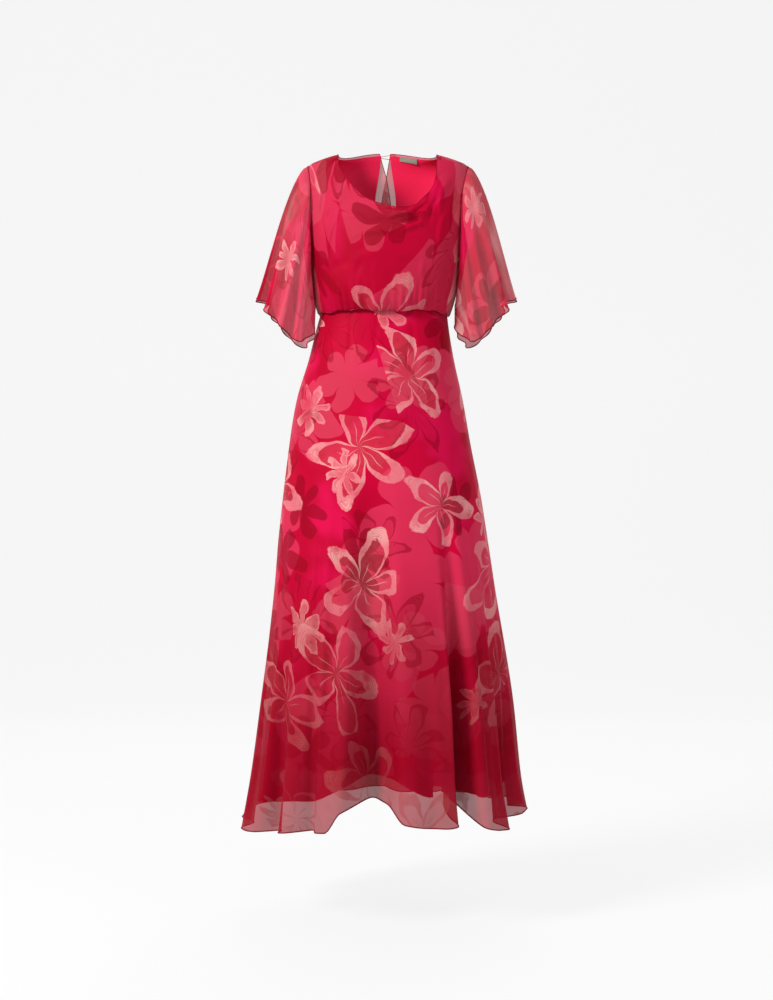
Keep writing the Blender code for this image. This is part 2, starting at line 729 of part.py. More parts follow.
def build():
    for thing in list(bpy.data.objects):
        bpy.data.objects.remove(thing)
    bpy.context.scene.collection.children.link(bpy.data.collections.new(COLLECTION))

    chiffon = (0.56, 0.012, 0.055)
    sheer = (0.66, 0.10, 0.16)
    satin = (0.78, 0.018, 0.07)

    bodice_panel("bodice_front", FRONT, FRONT_COLUMNS, SIDE_STOPS, paint("front_chiffon", chiffon, 0.6))
    back = (BACK_COLUMNS, SIDE_STOPS)
    bodice_panel("bodice_back_left", BACK_LEFT, *back, paint("back_left_chiffon", chiffon, 0.6))
    bodice_panel("bodice_back_right", BACK_RIGHT, *back, paint("back_right_chiffon", chiffon, 0.6))

    under = (LINING_FRONT_COLUMNS, LINING_SIDE_STOPS)
    bodice_panel("bodice_lining_front", LINING_FRONT, *under, paint("lining_front_satin", satin, 0.45))
    under = (LINING_BACK_COLUMNS, LINING_SIDE_STOPS)
    bodice_panel("bodice_lining_back_left", LINING_BACK_LEFT, *under, paint("lining_left_satin", satin, 0.45))
    bodice_panel("bodice_lining_back_right", LINING_BACK_RIGHT, *under, paint("lining_right_satin", satin, 0.45))

    sleeve("sleeve_right", -1.0, paint("sleeve_right_chiffon", sheer, 0.6))
    sleeve("sleeve_left", 1.0, paint("sleeve_left_chiffon", sheer, 0.6))

    outer = (outer_skirt_point, SKIRT_COLUMNS, SKIRT_ROWS, 0.0)
    skirt_panel("skirt_front", -90.0, *outer, paint("skirt_front_chiffon", chiffon, 0.6))
    skirt_panel("skirt_back", 90.0, *outer, paint("skirt_back_chiffon", chiffon, 0.6))
    inner = (lining_skirt_point, SKIRT_LINING_COLUMNS, SKIRT_LINING_ROWS, LINING_HEM_RISE)
    skirt_panel("skirt_lining_front", -90.0, *inner, paint("skirt_lining_front_satin", satin, 0.45))
    skirt_panel("skirt_lining_back", 90.0, *inner, paint("skirt_lining_back_satin", satin, 0.45))

    neck_label(paint("label_tape", (0.31, 0.33, 0.26), 0.8))
    neck_button(paint("button_resin", (0.60, 0.57, 0.52), 0.35))
    button_loop(paint("loop_thread", (0.30, 0.01, 0.04), 0.8))


build()
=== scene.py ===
"""Looks of the chiffon maxi dress: sheer printed cloth over a plain lining, fluted hems, soft studio light."""
import math
from bisect import bisect_right
from collections import defaultdict, namedtuple

import bmesh
import bpy
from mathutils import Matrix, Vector


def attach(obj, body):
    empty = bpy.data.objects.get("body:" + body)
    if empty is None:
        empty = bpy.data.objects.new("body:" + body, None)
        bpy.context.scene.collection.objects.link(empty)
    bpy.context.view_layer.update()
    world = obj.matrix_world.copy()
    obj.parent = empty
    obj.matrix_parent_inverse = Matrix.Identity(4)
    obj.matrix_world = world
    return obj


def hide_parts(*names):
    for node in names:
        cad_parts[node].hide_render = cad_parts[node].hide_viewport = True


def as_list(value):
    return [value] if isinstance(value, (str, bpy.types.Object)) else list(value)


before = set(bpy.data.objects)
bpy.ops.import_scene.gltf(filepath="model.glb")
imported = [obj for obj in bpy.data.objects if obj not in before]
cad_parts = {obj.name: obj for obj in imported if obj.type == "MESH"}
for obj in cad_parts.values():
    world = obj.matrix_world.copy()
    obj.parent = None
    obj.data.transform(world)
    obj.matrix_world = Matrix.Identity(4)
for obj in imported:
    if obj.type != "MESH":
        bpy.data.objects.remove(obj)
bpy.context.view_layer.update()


def table(kind, rows):
    """A table of named rows."""
    return tuple(kind(*row) for row in rows)


TURN = 2 * math.pi
ROUNDNESS = 2.2  # exponent of the cross-sections: 2 is an ellipse, more is boxier

NECK_HEIGHT = 0.04  # height at run 0
WAIST_HEIGHT = -0.3185
HEM_HEIGHT = -1.38  # where the folds are at their full depth
LINING_HEM_RISE = 0.058
LINING_HEM_SPREAD = 11  # the lining's hem is evened out over this many degrees on either side

# A cross-section of the bodice: run is the way down the cloth, right and left are half widths, front and back are
# depths from the side seams, ease and front_ease are how far inside the lining hangs
Ring = namedtuple("Ring", "run height right left front back ease front_ease")
BODICE = table(Ring, (
    (0, 0.04, 0.086, 0.098, 0.058, 0.074, 0.003, 0.003),
    (0.02, 0.02, 0.099, 0.112, 0.066, 0.08, 0.003, 0.003),
    (0.028, 0.012, 0.127, 0.141, 0.067, 0.083, 0.003, 0.003),
    (0.036, 0.004, 0.149, 0.164, 0.069, 0.085, 0.0032, 0.0032),
    (0.043, -0.003, 0.163, 0.178, 0.072, 0.087, 0.0034, 0.0034),
    (0.06, -0.02, 0.169, 0.182, 0.077, 0.091, 0.0039, 0.0039),
    (0.1, -0.06, 0.171, 0.18, 0.098, 0.102, 0.0045, 0.0045),
    (0.15, -0.11, 0.17, 0.176, 0.117, 0.107, 0.0058, 0.0058),
    (0.2, -0.16, 0.168, 0.172, 0.127, 0.108, 0.0085, 0.0085),
    (0.26, -0.22, 0.162, 0.164, 0.13, 0.109, 0.012, 0.014),
    (0.31, -0.27, 0.155, 0.156, 0.13, 0.111, 0.014, 0.019),
    (0.34, -0.3, 0.15, 0.149, 0.126, 0.11, 0.014, 0.022),
    (0.356, -0.316, 0.1455, 0.144, 0.119, 0.107, 0.0125, 0.022),
    (0.364, -0.3235, 0.1425, 0.1405, 0.111, 0.103, 0.009, 0.015),
    (0.37, -0.3225, 0.139, 0.137, 0.104, 0.099, 0.006, 0.008),
    (0.378, -0.3165, 0.1366, 0.1346, 0.099, 0.096, 0.002, 0.002),
))
SHOULDER_RUN = 0.043
UNDERARM_RUN = 0.195
EVEN_RUN = 0.24  # from here down the columns are evenly spread
LINING_END_RUN = 0.3575  # the run where the lining, which doesn't blouse, is level with the waist

# A cross-section of the skirt; ease is the distance that its lining keeps inside it
Hoop = namedtuple("Hoop", "height right left front back ease")
SKIRT = table(Hoop, (
    (-0.3185, 0.1362, 0.1342, 0.0986, 0.0956, 0.0015), (-0.345, 0.144, 0.137, 0.106, 0.104, 0.0022),
    (-0.419, 0.1625, 0.149, 0.121, 0.124, 0.004), (-0.505, 0.1885, 0.168, 0.133, 0.141, 0.005),
    (-0.591, 0.203, 0.183, 0.143, 0.153, 0.006), (-0.72, 0.217, 0.2065, 0.158, 0.166, 0.007),
    (-0.935, 0.235, 0.235, 0.181, 0.186, 0.008), (-1.15, 0.257, 0.261, 0.203, 0.205, 0.009),
    (-1.3, 0.273, 0.271, 0.218, 0.217, 0.01), (-1.411, 0.289, 0.288, 0.226, 0.222, 0.011),
))

# A fold down the skirt: bearing from centre front, + to the wearer's left, half angle, depth at the hem, start
Fold = namedtuple("Fold", "bearing half_angle depth start")
SKIRT_FOLDS = table(Fold, (
    (-86, 12, 0.03, -0.8), (-50, 9, 0.034, -1.05), (-31, 8, 0.03, -1.1), (-5, 12, 0.105, -0.62),
    (34, 7.5, 0.1, -0.7), (64, 9, 0.06, -0.75), (92, 10, 0.04, -0.72), (118, 11, 0.07, -0.66),
    (147, 10, 0.082, -0.78), (176, 13, 0.095, -0.6), (-153, 9, 0.058, -0.84), (-126, 12, 0.088, -0.68),
))
# The height of an edge at a place along it. The skirt's hem by bearing: it hangs lowest at the wearer's right
Level = namedtuple("Level", "place height")
SKIRT_HEM = table(Level, (
    (-180, -1.362), (-166, -1.384), (-153, -1.376), (-140, -1.392), (-126, -1.378), (-108, -1.404), (-90, -1.408),
    (-70, -1.411), (-55, -1.405), (-35, -1.396), (-21, -1.392), (-15.5, -1.352), (-5, -1.334), (1, -1.34),
    (6.5, -1.374), (24, -1.384), (30, -1.376), (35, -1.336), (41, -1.39), (54, -1.4), (66, -1.388), (78, -1.372),
    (100, -1.38), (118, -1.368), (132, -1.39), (147, -1.37), (162, -1.386), (180, -1.362),
))
FLUTE_REACH = 0.022  # how far the hem stands out between the folds
FLUTE_START = -0.6
FOLD_RAMP = 1.35
LINING_SPREAD = (-9, -6, -3, 0, 3, 6, 9)  # bearings that the lining bridges over a fold

# The front neckline by x, from the wearer's right neck point to the left one
NECKLINE = table(Level, (
    (-0.099, 0.02), (-0.0965, -0.013), (-0.08, -0.043), (-0.06, -0.069), (-0.04, -0.088), (0, -0.104),
    (0.03, -0.11), (0.06, -0.106), (0.083, -0.085), (0.1, -0.064), (0.108, -0.04), (0.112, 0.02),
))
BACK_NECK_RISE = 0.0185  # centre back above the neck points
LINING_NECK_MARGIN = 0.002  # the lining's neck edge is cut this much lower
LINING_DROP = 0.0022  # the lining hangs this much lower at the shoulders

# Armholes: how far a panel is cut in from the wearer's right and left sides
Cut = namedtuple("Cut", "run right left")
ARMHOLE = table(Cut, (
    (0.043, 0, 0), (0.062, 0.009, 0.009), (0.11, 0.015, 0.015), (0.165, 0.01, 0.01), (0.195, 0, 0),
))
LINING_ARMHOLE = table(Cut, (
    (0.028, 0.034, 0.026), (0.09, 0.044, 0.027), (0.12, 0.041, 0.028), (0.15, 0.036, 0.027),
    (0.168, 0.028, 0.021), (0.182, 0, 0),
))

# Soft drapes of the bodice front: centre, half sizes and how far each stands out
Drape = namedtuple("Drape", "x height half_width half_height reach")
COWL = table(Drape, (
    (0.035, -0.118, 0.05, 0.016, 0.008), (0.02, -0.152, 0.062, 0.015, 0.0045),
    (-0.01, -0.186, 0.07, 0.016, 0.003),
))

# Gathers of the bodice into the waist, on each half of the body
GATHERS = 11
GATHER_REACH = 0.0024
GATHER_RUNS = (0.285, 0.352, 0.352, 0.378)  # where they start, are full, start to fade and end

# Centre back slit of the chiffon: the edge of each back panel, and how far the laps part in depth
Slit = namedtuple("Slit", "height left right lap")
SLIT = table(Slit, (
    (0.04, 0.0133, -0.0112, 0), (0.015, 0.0087, -0.004, 0.0004), (-0.012, 0.0037, 0.0037, 0.001),
    (-0.08, -0.0075, 0.0138, 0.001), (-0.105, -0.004, 0.009, 0.001), (-0.125, 0, 0, 0.001), (-0.165, 0, 0, 0),
    (-0.33, 0, 0, 0),
))
SLIT_LAP_WIDTH = 0.034
SLIT_END = -0.125
LINING_SLIT = table(Slit, (
    (0.04, 0.011, -0.007, 0), (0.017, 0.014, -0.009, 0), (-0.075, 0.0253, -0.0213, 0), (-0.105, 0.023, -0.02, 0),
    (-0.125, 0.013, -0.011, 0), (-0.135, 0, 0, 0), (-0.33, 0, 0, 0),
))

# Flutter sleeves: the loop of the hem round the arm, and the bulge under the shoulder
SLEEVE_HEM_CENTRE = 0.206
SLEEVE_HEM_HALF_WIDTH = 0.061
SLEEVE_HEM_HALF_DEPTH = 0.078
SLEEVE_LEFT_SHIFT = 0.008  # the wearer's left sleeve lies this much further out
SLEEVE_BULGE = 0.045
SLEEVE_SEAM_GAP = 0.0011
BODY_CLEARANCE = 0.045  # a sleeve keeps this share of the body's half width off it
# The sleeve's hem by the turn round the arm from its top
SLEEVE_HEM = table(Level, (
    (0, -0.286), (30, -0.298), (60, -0.334), (90, -0.366), (115, -0.386), (140, -0.372), (160, -0.342),
    (180, -0.326),
))
# A fold of a sleeve: turn, + to the front, and how deep it cuts in at the hem
SleeveFold = namedtuple("SleeveFold", "turn half_turn depth")
SLEEVE_FOLDS = table(SleeveFold, (
    (34, 15, 0.021), (66, 14, 0.017), (97, 14, 0.021), (130, 15, 0.014), (-30, 16, 0.02), (-64, 14, 0.018),
    (-99, 14, 0.021), (-133, 14, 0.014),
))
SLEEVE_FLUTE_REACH = 0.008


def smooth(value):
    """0 to 1 with level ends."""
    value = min(1, max(0, value))
    return value * value * (3 - 2 * value)


def swell(value, start, full, fade, end):
    """Rises from 0 at start to 1 at full, and falls from 1 at fade to 0 at end."""
    return smooth((value - start) / (full - start)) * (1 - smooth((value - fade) / (end - fade)))


def hump(offset, half_width):
    """1 at the middle, falling to 0 at half_width on either side."""
    if abs(offset) >= half_width:
        return 0
    return math.cos(0.5 * math.pi * offset / half_width) ** 2


def angle_between(first, second):
    """The turn from second to first, -180 to 180 degrees."""
    return (first - second + 180) % 360 - 180


def circle(angle):
    """Sine and cosine of an angle in degrees."""
    return math.sin(math.radians(angle)), math.cos(math.radians(angle))


def squared(value):
    """A sine or cosine drawn out towards the corners of a cross-section."""
    return math.copysign(abs(value) ** (2 / ROUNDNESS), value)


def on_side(row, x):
    """What a row says for the side of the body where x is."""
    return row.left if x >= 0 else row.right


def read_table(rows, place):
    """The row at a place between a table's rows, on smooth curves that never overshoot."""
    if rows[0][0] > rows[-1][0]:
        rows = rows[::-1]
    places = [row[0] for row in rows]
    last = len(rows) - 2
    place = min(max(place, places[0]), places[-1])
    index = min(bisect_right(places, place) - 1, last)
    span = places[index + 1] - places[index]
    share = (place - places[index]) / span

    def secant(column, row):
        return (rows[row + 1][column] - rows[row][column]) / (places[row + 1] - places[row])

    def slope(column, row):
        if row == 0 or row > last:
            return secant(column, min(row, last))
        before, after = secant(column, row - 1), secant(column, row)
        return 0 if before * after <= 0 else 2 * before * after / (before + after)

    values = []
    for column, (start, end) in enumerate(zip(rows[index], rows[index + 1])):
        rise = (share ** 3 - 2 * share ** 2 + share) * span * slope(column, index)
        fall = (share ** 3 - share ** 2) * span * slope(column, index + 1)
        values.append(start + (end - start) * smooth(share) + rise + fall)
    return type(rows[0])(*values)


def even_places(path, count):
    """Places from 0 to 1 that part a fine path of points into count equal lengths."""
    travelled = [0]
    for here, after in zip(path, path[1:]):
        travelled.append(travelled[-1] + math.dist(here, after))
    places = []
    for step in range(count + 1):
        wanted = travelled[-1] * step / count
        index = min(max(bisect_right(travelled, wanted) - 1, 0), len(path) - 2)
        span = travelled[index + 1] - travelled[index]
        places.append((index + (wanted - travelled[index]) / span) / (len(path) - 1))
    return places


# ---- Skirt ----

def fold_growth(height, start):
    """How far a fold has opened at a height: 0 where it starts, 1 at the hem."""
    if height >= start:
        return 0
    return ((start - height) / (start - HEM_HEIGHT)) ** FOLD_RAMP


def skirt_offset(bearing, height):
    """How far the skirt stands out from its plain cross-section."""
    offset = FLUTE_REACH * fold_growth(height, FLUTE_START)
    for fold in SKIRT_FOLDS:
        cut = hump(angle_between(bearing, fold.bearing), fold.half_angle)
        offset -= fold.depth * fold_growth(height, fold.start) * cut
    return offset


def skirt_point(bearing, height, offset):
    """A point of the skirt's cross-section, moved out by an offset."""
    hoop = read_table(SKIRT, height)
    across, along = circle(bearing)
    x = squared(across) * on_side(hoop, across)
    y = -squared(along) * (hoop.front if along >= 0 else hoop.back)
    return x + across * offset, y - along * offset, height


def hem_height(bearing, spread):
    """The hem's height, evened out over the bearings up to spread on either side."""
    near = [angle_between(bearing + spread * step / 4, 0) for step in range(-4, 5)]
    return sum(read_table(SKIRT_HEM, place).height for place in near) / len(near)


# ---- Bodice ----

# A bodice panel: side of the body, first and last bearing from its centre line, whether it is lining, the
# tables of its armhole and slit, how far its neck edge is cut back, and which lap of the slit it is
Panel = namedtuple("Panel", "side first last lining armhole slit margin lap")


def half_width(ring, x, lining=False):
    """Half width of a cross-section on the side where x is."""
    return on_side(ring, x) - (ring.ease if lining else 0)


def trunk_depth(ring, x, side, lining):
    """How far the bodice stands out from the side seams at x."""
    depth = ring.front if side == "front" else ring.back
    if lining:
        depth -= ring.front_ease if side == "front" else ring.ease
    share = min(1, abs(x) / half_width(ring, x, lining))
    return depth * (1 - share ** ROUNDNESS) ** (1 / ROUNDNESS)


def side_edge(panel, run, x):
    """Where a panel ends on the side where x is: its shoulder seam, then its armhole, then its side seam."""
    ridge = half_width(read_table(BODICE, run), x, panel.lining)
    side = half_width(read_table(BODICE, max(run, SHOULDER_RUN)), x, panel.lining)
    return math.copysign(min(ridge, side - on_side(read_table(panel.armhole, run), x)), x)


def centre_edge(panel, run):
    """Where a back panel ends at the slit; the front goes on, so there this is its centre line."""
    if panel.lap is None:
        return 0
    slit = read_table(panel.slit, NECK_HEIGHT - run)
    return slit.left if panel.lap == "left" else slit.right


def panel_edge(panel, bearing, run):
    """Where a panel ends at its first or last bearing."""
    return side_edge(panel, run, bearing) if bearing else centre_edge(panel, run)


def neck_run(panel, x):
    """The run of a panel's neck edge at x."""
    neck = NECKLINE[-1].place if x >= 0 else -NECKLINE[0].place
    lowest = BODICE[1].run + panel.margin
    spot = x * neck / abs(side_edge(panel, lowest, x))
    if panel.side == "front":
        return NECK_HEIGHT - read_table(NECKLINE, spot).height + panel.margin
    return lowest - BACK_NECK_RISE * max(0, 1 - (spot / neck) ** 2) ** 1.5


def cowl_reach(x, height):
    """How far the soft drapes under the neckline stand out."""
    total = 0
    for drape in COWL:
        middle = drape.height + 0.5 * drape.half_height * ((x - drape.x) / drape.half_width) ** 2
        total += drape.reach * hump(x - drape.x, drape.half_width) * hump(height - middle, drape.half_height)
    return total


def gather_reach(share, run):
    """Soft gathers into the waist, uneven in reach; share goes from one side seam to the other."""
    wave = math.sin(TURN * GATHERS * share + 0.8 * math.sin(7 * share))
    uneven = 0.75 + 0.25 * math.sin(3 * TURN * share + 1)
    ends = smooth(8 * share) * smooth(8 * (1 - share))
    return GATHER_REACH * swell(run, *GATHER_RUNS) * wave * uneven * ends


def trunk_point(panel, x, run, girth=0):
    """A point of a panel at x and run; girth goes from side seam to side seam, for the gathers."""
    ring = read_table(BODICE, run)
    depth = trunk_depth(ring, x, panel.side, panel.lining)
    height = ring.height
    if panel.lining:
        height -= LINING_DROP * (1 - smooth(run / UNDERARM_RUN))
    else:
        depth += gather_reach(girth, run)
    if panel.side == "front":
        if not panel.lining:
            depth += cowl_reach(x, height)
        return x, -depth, height
    slit = read_table(panel.slit, NECK_HEIGHT - run)
    lap = slit.lap * hump(x, SLIT_LAP_WIDTH)
    depth += lap if panel.lap == "left" else -lap
    return x, depth, height


def even_x(panel, column, run):
    """The x of a column where the columns are evenly spread round the body."""
    bearing = panel.first + (panel.last - panel.first) * column
    middle = centre_edge(panel, run)
    edge = side_edge(panel, run, bearing or panel.first + panel.last)
    return middle + (edge - middle) * abs(squared(circle(bearing)[0]))


def side_rows(panel, start_run, side_stops):
    """Runs of the rows at the side, evenly spread between the stops: (run, rows up to there)."""
    runs = [start_run]
    side = panel.first + 0.5 * panel.last
    for stop_run, count in side_stops:
        first_run, span = runs[-1], stop_run - runs[-1]
        fine = [first_run + span * step / 120 for step in range(121)]
        path = [trunk_point(panel, side_edge(panel, run, side), run) for run in fine]
        runs += [first_run + span * place for place in even_places(path, count)[1:]]
    return runs


# ---- Sleeves ----

def clear_of_body(x, y, height, share):
    """Moves a point of a sleeve out until it is clear of the bodice and skirt."""
    ring = read_table(BODICE, min(NECK_HEIGHT - height, BODICE[11].run))
    wide, deep = half_width(ring, x), ring.front if y < 0 else ring.back
    out = ((abs(x) / wide) ** ROUNDNESS + (abs(y) / deep) ** ROUNDNESS) ** (1 / ROUNDNESS)
    grow = max(1, (1 + BODY_CLEARANCE * min(1, 10 * share)) / out)
    return x * grow, y * grow, height


def sleeve_point(sign, turn, share):
    """A point of a sleeve: turn round the arm from its top, + to the front, share from armhole to hem."""
    side = "front" if turn >= 0 else "back"
    along, across = circle(turn)
    run = SHOULDER_RUN + (UNDERARM_RUN - SHOULDER_RUN) * 0.5 * (1 - across)
    ring = read_table(BODICE, run)
    edge = half_width(ring, sign) - on_side(read_table(ARMHOLE, run), sign)
    depth = trunk_depth(ring, sign * edge, side, False)
    start = (edge + SLEEVE_SEAM_GAP, -depth if side == "front" else depth, ring.height)
    centre = SLEEVE_HEM_CENTRE + (SLEEVE_LEFT_SHIFT if sign > 0 else 0)
    end = (centre + SLEEVE_HEM_HALF_WIDTH * across, -SLEEVE_HEM_HALF_DEPTH * along,
           read_table(SLEEVE_HEM, abs(turn)).height)
    fold = SLEEVE_FLUTE_REACH
    for row in SLEEVE_FOLDS:
        fold -= row.depth * hump(angle_between(turn, row.turn), row.half_turn)
    bulge = SLEEVE_BULGE * share ** 0.45 * (1 - share) ** 1.4 + fold * share ** 1.2
    x, y, z = (here + (there - here) * share for here, there in zip(start, end))
    return clear_of_body(sign * (x + bulge * across), y - bulge * along, z, share)


PANELS = {
    "bodice_" + layer + place: Panel(side, first, last, bool(layer), armhole, slit if lap else None, margin, lap)
    for layer, armhole, slit, margin in (
        ("", ARMHOLE, SLIT, 0), ("lining_", LINING_ARMHOLE, LINING_SLIT, LINING_NECK_MARGIN))
    for place, side, first, last, lap in (
        ("front", "front", -90, 90, None), ("back_left", "back", 90, 0, "left"),
        ("back_right", "back", 0, -90, "right"))
}


# ---- Shader nodes ----

class Shader:
    """Adds nodes to one tree. Each value is a number, a colour or place, or another node's output."""

    def __init__(self, tree):
        self.tree = tree

    def put(self, socket, value):
        if isinstance(value, bpy.types.NodeSocket):
            self.tree.links.new(value, socket)
        else:
            socket.default_value = (*value, 1) if socket.type == "RGBA" else value

    def give(self, sockets, **values):
        """Sets sockets by name; Cloth_Place stands for Cloth Place."""
        for key, value in values.items():
            self.put(sockets[key.replace("_", " ")], value)
        return self.tree

    def node(self, kind, values=(), **settings):
        """The outputs of a new node; values go by the names or numbers of its inputs."""
        node = self.tree.nodes.new("ShaderNode" + kind)
        for key, value in settings.items():
            setattr(node, key, value)
        for key, value in dict(values).items():
            self.put(node.inputs[key], value)
        return node.outputs

    def group(self, group, **values):
        return self.node("Group", {key.replace("_", " "): value for key, value in values.items()}, node_tree=group)

    def maths(self, operation, *values, clamp=False):
        return self.node("Math", enumerate(values), operation=operation, use_clamp=clamp)[0]

    def times(self, first, second, clamp=False):
        return self.maths("MULTIPLY", first, second, clamp=clamp)

    def scaled(self, value, factor, plus, clamp=False):
        return self.maths("MULTIPLY_ADD", value, factor, plus, clamp=clamp)

    def vectors(self, operation, first, second):
        return self.node("VectorMath", enumerate((first, second)), operation=operation)[0]

    def stretched(self, vector, scale):
        return self.node("VectorMath", {0: vector, "Scale": scale}, operation="SCALE")[0]

    def split(self, vector):
        return self.node("SeparateXYZ", {0: vector})

    def coordinates(self, kind):
        return self.node("TexCoord")[kind]

    def cloth_place(self, shift):
        """Where a point lies on the flat cloth, in metres, moved so that no two pieces look the same."""
        return self.vectors("ADD", self.coordinates("UV"), (*shift, 0))

    def ramp(self, value, low, high, to_low=0, to_high=1):
        """Maps a value smoothly from low..high to to_low..to_high."""
        values = {"Value": value, "From Min": low, "From Max": high, "To Min": to_low, "To Max": to_high}
        return self.node("MapRange", values, interpolation_type="SMOOTHSTEP")["Result"]

    def mix(self, share, first, second):
        return self.node("Mix", {0: share, 6: first, 7: second}, data_type="RGBA")[2]

    def noise(self, place, scale, detail=2, roughness=0.5, output="Fac"):
        values = {"Vector": place, "Scale": scale, "Detail": detail, "Roughness": roughness}
        return self.node("TexNoise", values)[output]

    def bump(self, height, strength):
        return self.node("Bump", {"Strength": strength, "Distance": BUMP_DEPTH, "Height": height})["Normal"]

    # Painted shade: a colour made darker towards the bottom of a piece, by deep (start, end, how far)
    def shaded_lower(self, colour, place, deep):
        start, end, depth = deep
        values = {"Colour": colour, "Cloth_Place": place, "Start": start, "End": end, "Depth": depth}
        return self.group(LOWER_SHADE, **values)["Colour"]


def new_group(name, inputs, outputs):
    """An empty group of nodes; an input says its default number, or its kind."""
    tree = bpy.data.node_groups.new(name, "ShaderNodeTree")
    for label, value in inputs.items():
        kind = value if isinstance(value, str) else "Float"
        socket = tree.interface.new_socket(name=label, in_out="INPUT", socket_type="NodeSocket" + kind)
        if kind == "Float":
            socket.default_value = value
    for label, kind in outputs.items():
        tree.interface.new_socket(name=label, in_out="OUTPUT", socket_type="NodeSocket" + kind)
    return Shader(tree), tree.nodes.new("NodeGroupInput").outputs, tree.nodes.new("NodeGroupOutput").inputs


def flower_scatter_group():
    """Brush-painted flowers scattered over the cloth: masks of their petals and of their outlines."""
    nodes, given, out = new_group(
        "flower_scatter",
        {"Cloth Place": "Vector", "Flowers per Metre": 5, "Shift": "Vector", "Petals": 5, "Reach": 0.4,
         "Cleft": 0.6, "Brush Width": 0.05, "Wobble": 0.12},
        {"Petal": "Float", "Outline": "Float", "Chance": "Float"},
    )
    maths, times, scaled = nodes.maths, nodes.times, nodes.scaled
    place = nodes.stretched(given["Cloth Place"], given["Flowers per Metre"])
    place = nodes.vectors("ADD", place, given["Shift"])
    drift = nodes.vectors("SUBTRACT", nodes.noise(place, 2.3, output="Color"), (0.5, 0.5, 0.5))
    drawn = nodes.vectors("ADD", place, nodes.stretched(drift, given["Wobble"]))
    cells = nodes.node("TexVoronoi", {"Vector": place, "Scale": 1, "Randomness": 0.72},
                       voronoi_dimensions="2D", feature="F1")
    local = nodes.split(nodes.vectors("SUBTRACT", drawn, cells["Position"]))
    across, along = local["X"], local["Y"]
    chances = nodes.node("SeparateColor", {0: cells["Color"]})
    radius = maths("SQRT", maths("ADD", times(across, across), times(along, along)))
    turn = scaled(chances[0], 6.283, maths("ARCTAN2", along, across))
    half = times(times(turn, given["Petals"]), 0.5)
    lobe = maths("POWER", maths("ABSOLUTE", maths("COSINE", half)), given["Cleft"])
    size = times(given["Reach"], scaled(chances[1], 0.35, 0.75))
    uneven = scaled(maths("SINE", scaled(turn, 2, 1.3)), 0.12, 1)
    gap = maths("SUBTRACT", times(times(size, uneven), scaled(lobe, 0.8, 0.2)), radius)
    swell = nodes.noise(place, 2.6, 1)
    width = times(given["Brush Width"], scaled(swell, 2.6, -0.25))
    frayed = scaled(nodes.noise(drawn, 26, 3, 0.7), 0.044, -0.022)
    off_line = maths("ADD", maths("ABSOLUTE", maths("SUBTRACT", gap, width)), frayed)
    outline = nodes.ramp(maths("SUBTRACT", width, off_line), -0.004, 0.01)
    rib = nodes.ramp(maths("ABSOLUTE", maths("SINE", half)), 0.1, 0.03)
    inner = times(rib, nodes.ramp(maths("DIVIDE", radius, size), 0.55, 0.35))
    bristles = scaled(maths("SINE", scaled(gap, 290, times(swell, 14))), 0.17, 0.83)
    return nodes.give(out, Petal=nodes.ramp(gap, -0.004, 0.012),
                      Outline=times(maths("MAXIMUM", outline, inner), bristles), Chance=chances[2])


def chiffon_print_group(scatter):
    """The printed colour of the cloth: crimson ground, tonal blossoms, salmon brush-line flowers."""
    nodes, given, out = new_group("chiffon_print", {"Cloth Place": "Vector"}, {"Colour": "Color", "Ink": "Float"})
    place, times, ramp, mix = given["Cloth Place"], nodes.times, nodes.ramp, nodes.mix

    def printed(flowers):
        """How strongly a layer of flowers prints."""
        drawn = nodes.group(
            scatter, Cloth_Place=place, Flowers_per_Metre=flowers.per_metre, Shift=flowers.shift,
            Petals=flowers.petals, Reach=flowers.reach, Cleft=flowers.cleft, Brush_Width=flowers.brush,
            Wobble=flowers.wobble)
        outline, petal = times(drawn["Outline"], flowers.outline), times(drawn["Petal"], flowers.petal)
        kept = ramp(drawn["Chance"], flowers.left_out, flowers.left_out + 0.01)
        return times(nodes.maths("MAXIMUM", outline, petal), kept)

    wash = nodes.noise(place, 4, 3, 0.6)
    colour = mix(ramp(wash, 0.35, 0.65), GROUND_DEEP, GROUND)
    colour = mix(ramp(nodes.noise(place, 7), 0.5, 0.66), colour, RASPBERRY)
    colour = mix(times(printed(BLOSSOMS), nodes.scaled(wash, 0.6, 0.5), clamp=True), colour, ROSE)
    for flowers, tone in ((PALE_BLOSSOMS, CORAL), (DARK_BLOSSOMS, WINE), (DARK_STROKES, WINE)):
        colour = mix(printed(flowers), colour, tone)
    ink = nodes.maths("MAXIMUM", printed(LINE_FLOWERS), printed(SMALL_FLOWERS))
    ink = times(ink, ramp(nodes.noise(place, 60, 4, 0.7), 0.3, 0.5, 0.5, 0.95))
    ink = times(ink, ramp(nodes.noise(place, 11), 0.3, 0.42, 0.25, 1))
    ink_colour = mix(ramp(nodes.noise(place, 13), 0.4, 0.7), SALMON, SHELL)
    return nodes.give(out, Colour=mix(ink, colour, ink_colour), Ink=ink)


def fine_weave_group():
    """The crossed threads of a plain weave, how open it is between them, and broad soft clouds."""
    nodes, given, out = new_group("fine_weave", {"Cloth Place": "Vector", "Threads per Metre": 1600},
                                  {"Height": "Float", "Openness": "Float", "Clouds": "Float"})
    maths, times, place = nodes.maths, nodes.times, given["Cloth Place"]
    parts = nodes.split(nodes.stretched(place, given["Threads per Metre"]))
    warp, weft = (maths("ABSOLUTE", maths("SINE", times(parts[key], math.pi))) for key in "XY")
    slub = nodes.scaled(nodes.noise(place, 420), 0.4, 0.8)
    return nodes.give(out, Height=times(maths("MAXIMUM", warp, weft), slub), Clouds=nodes.noise(place, 9),
                      Openness=times(maths("SUBTRACT", 1, warp), maths("SUBTRACT", 1, weft)))


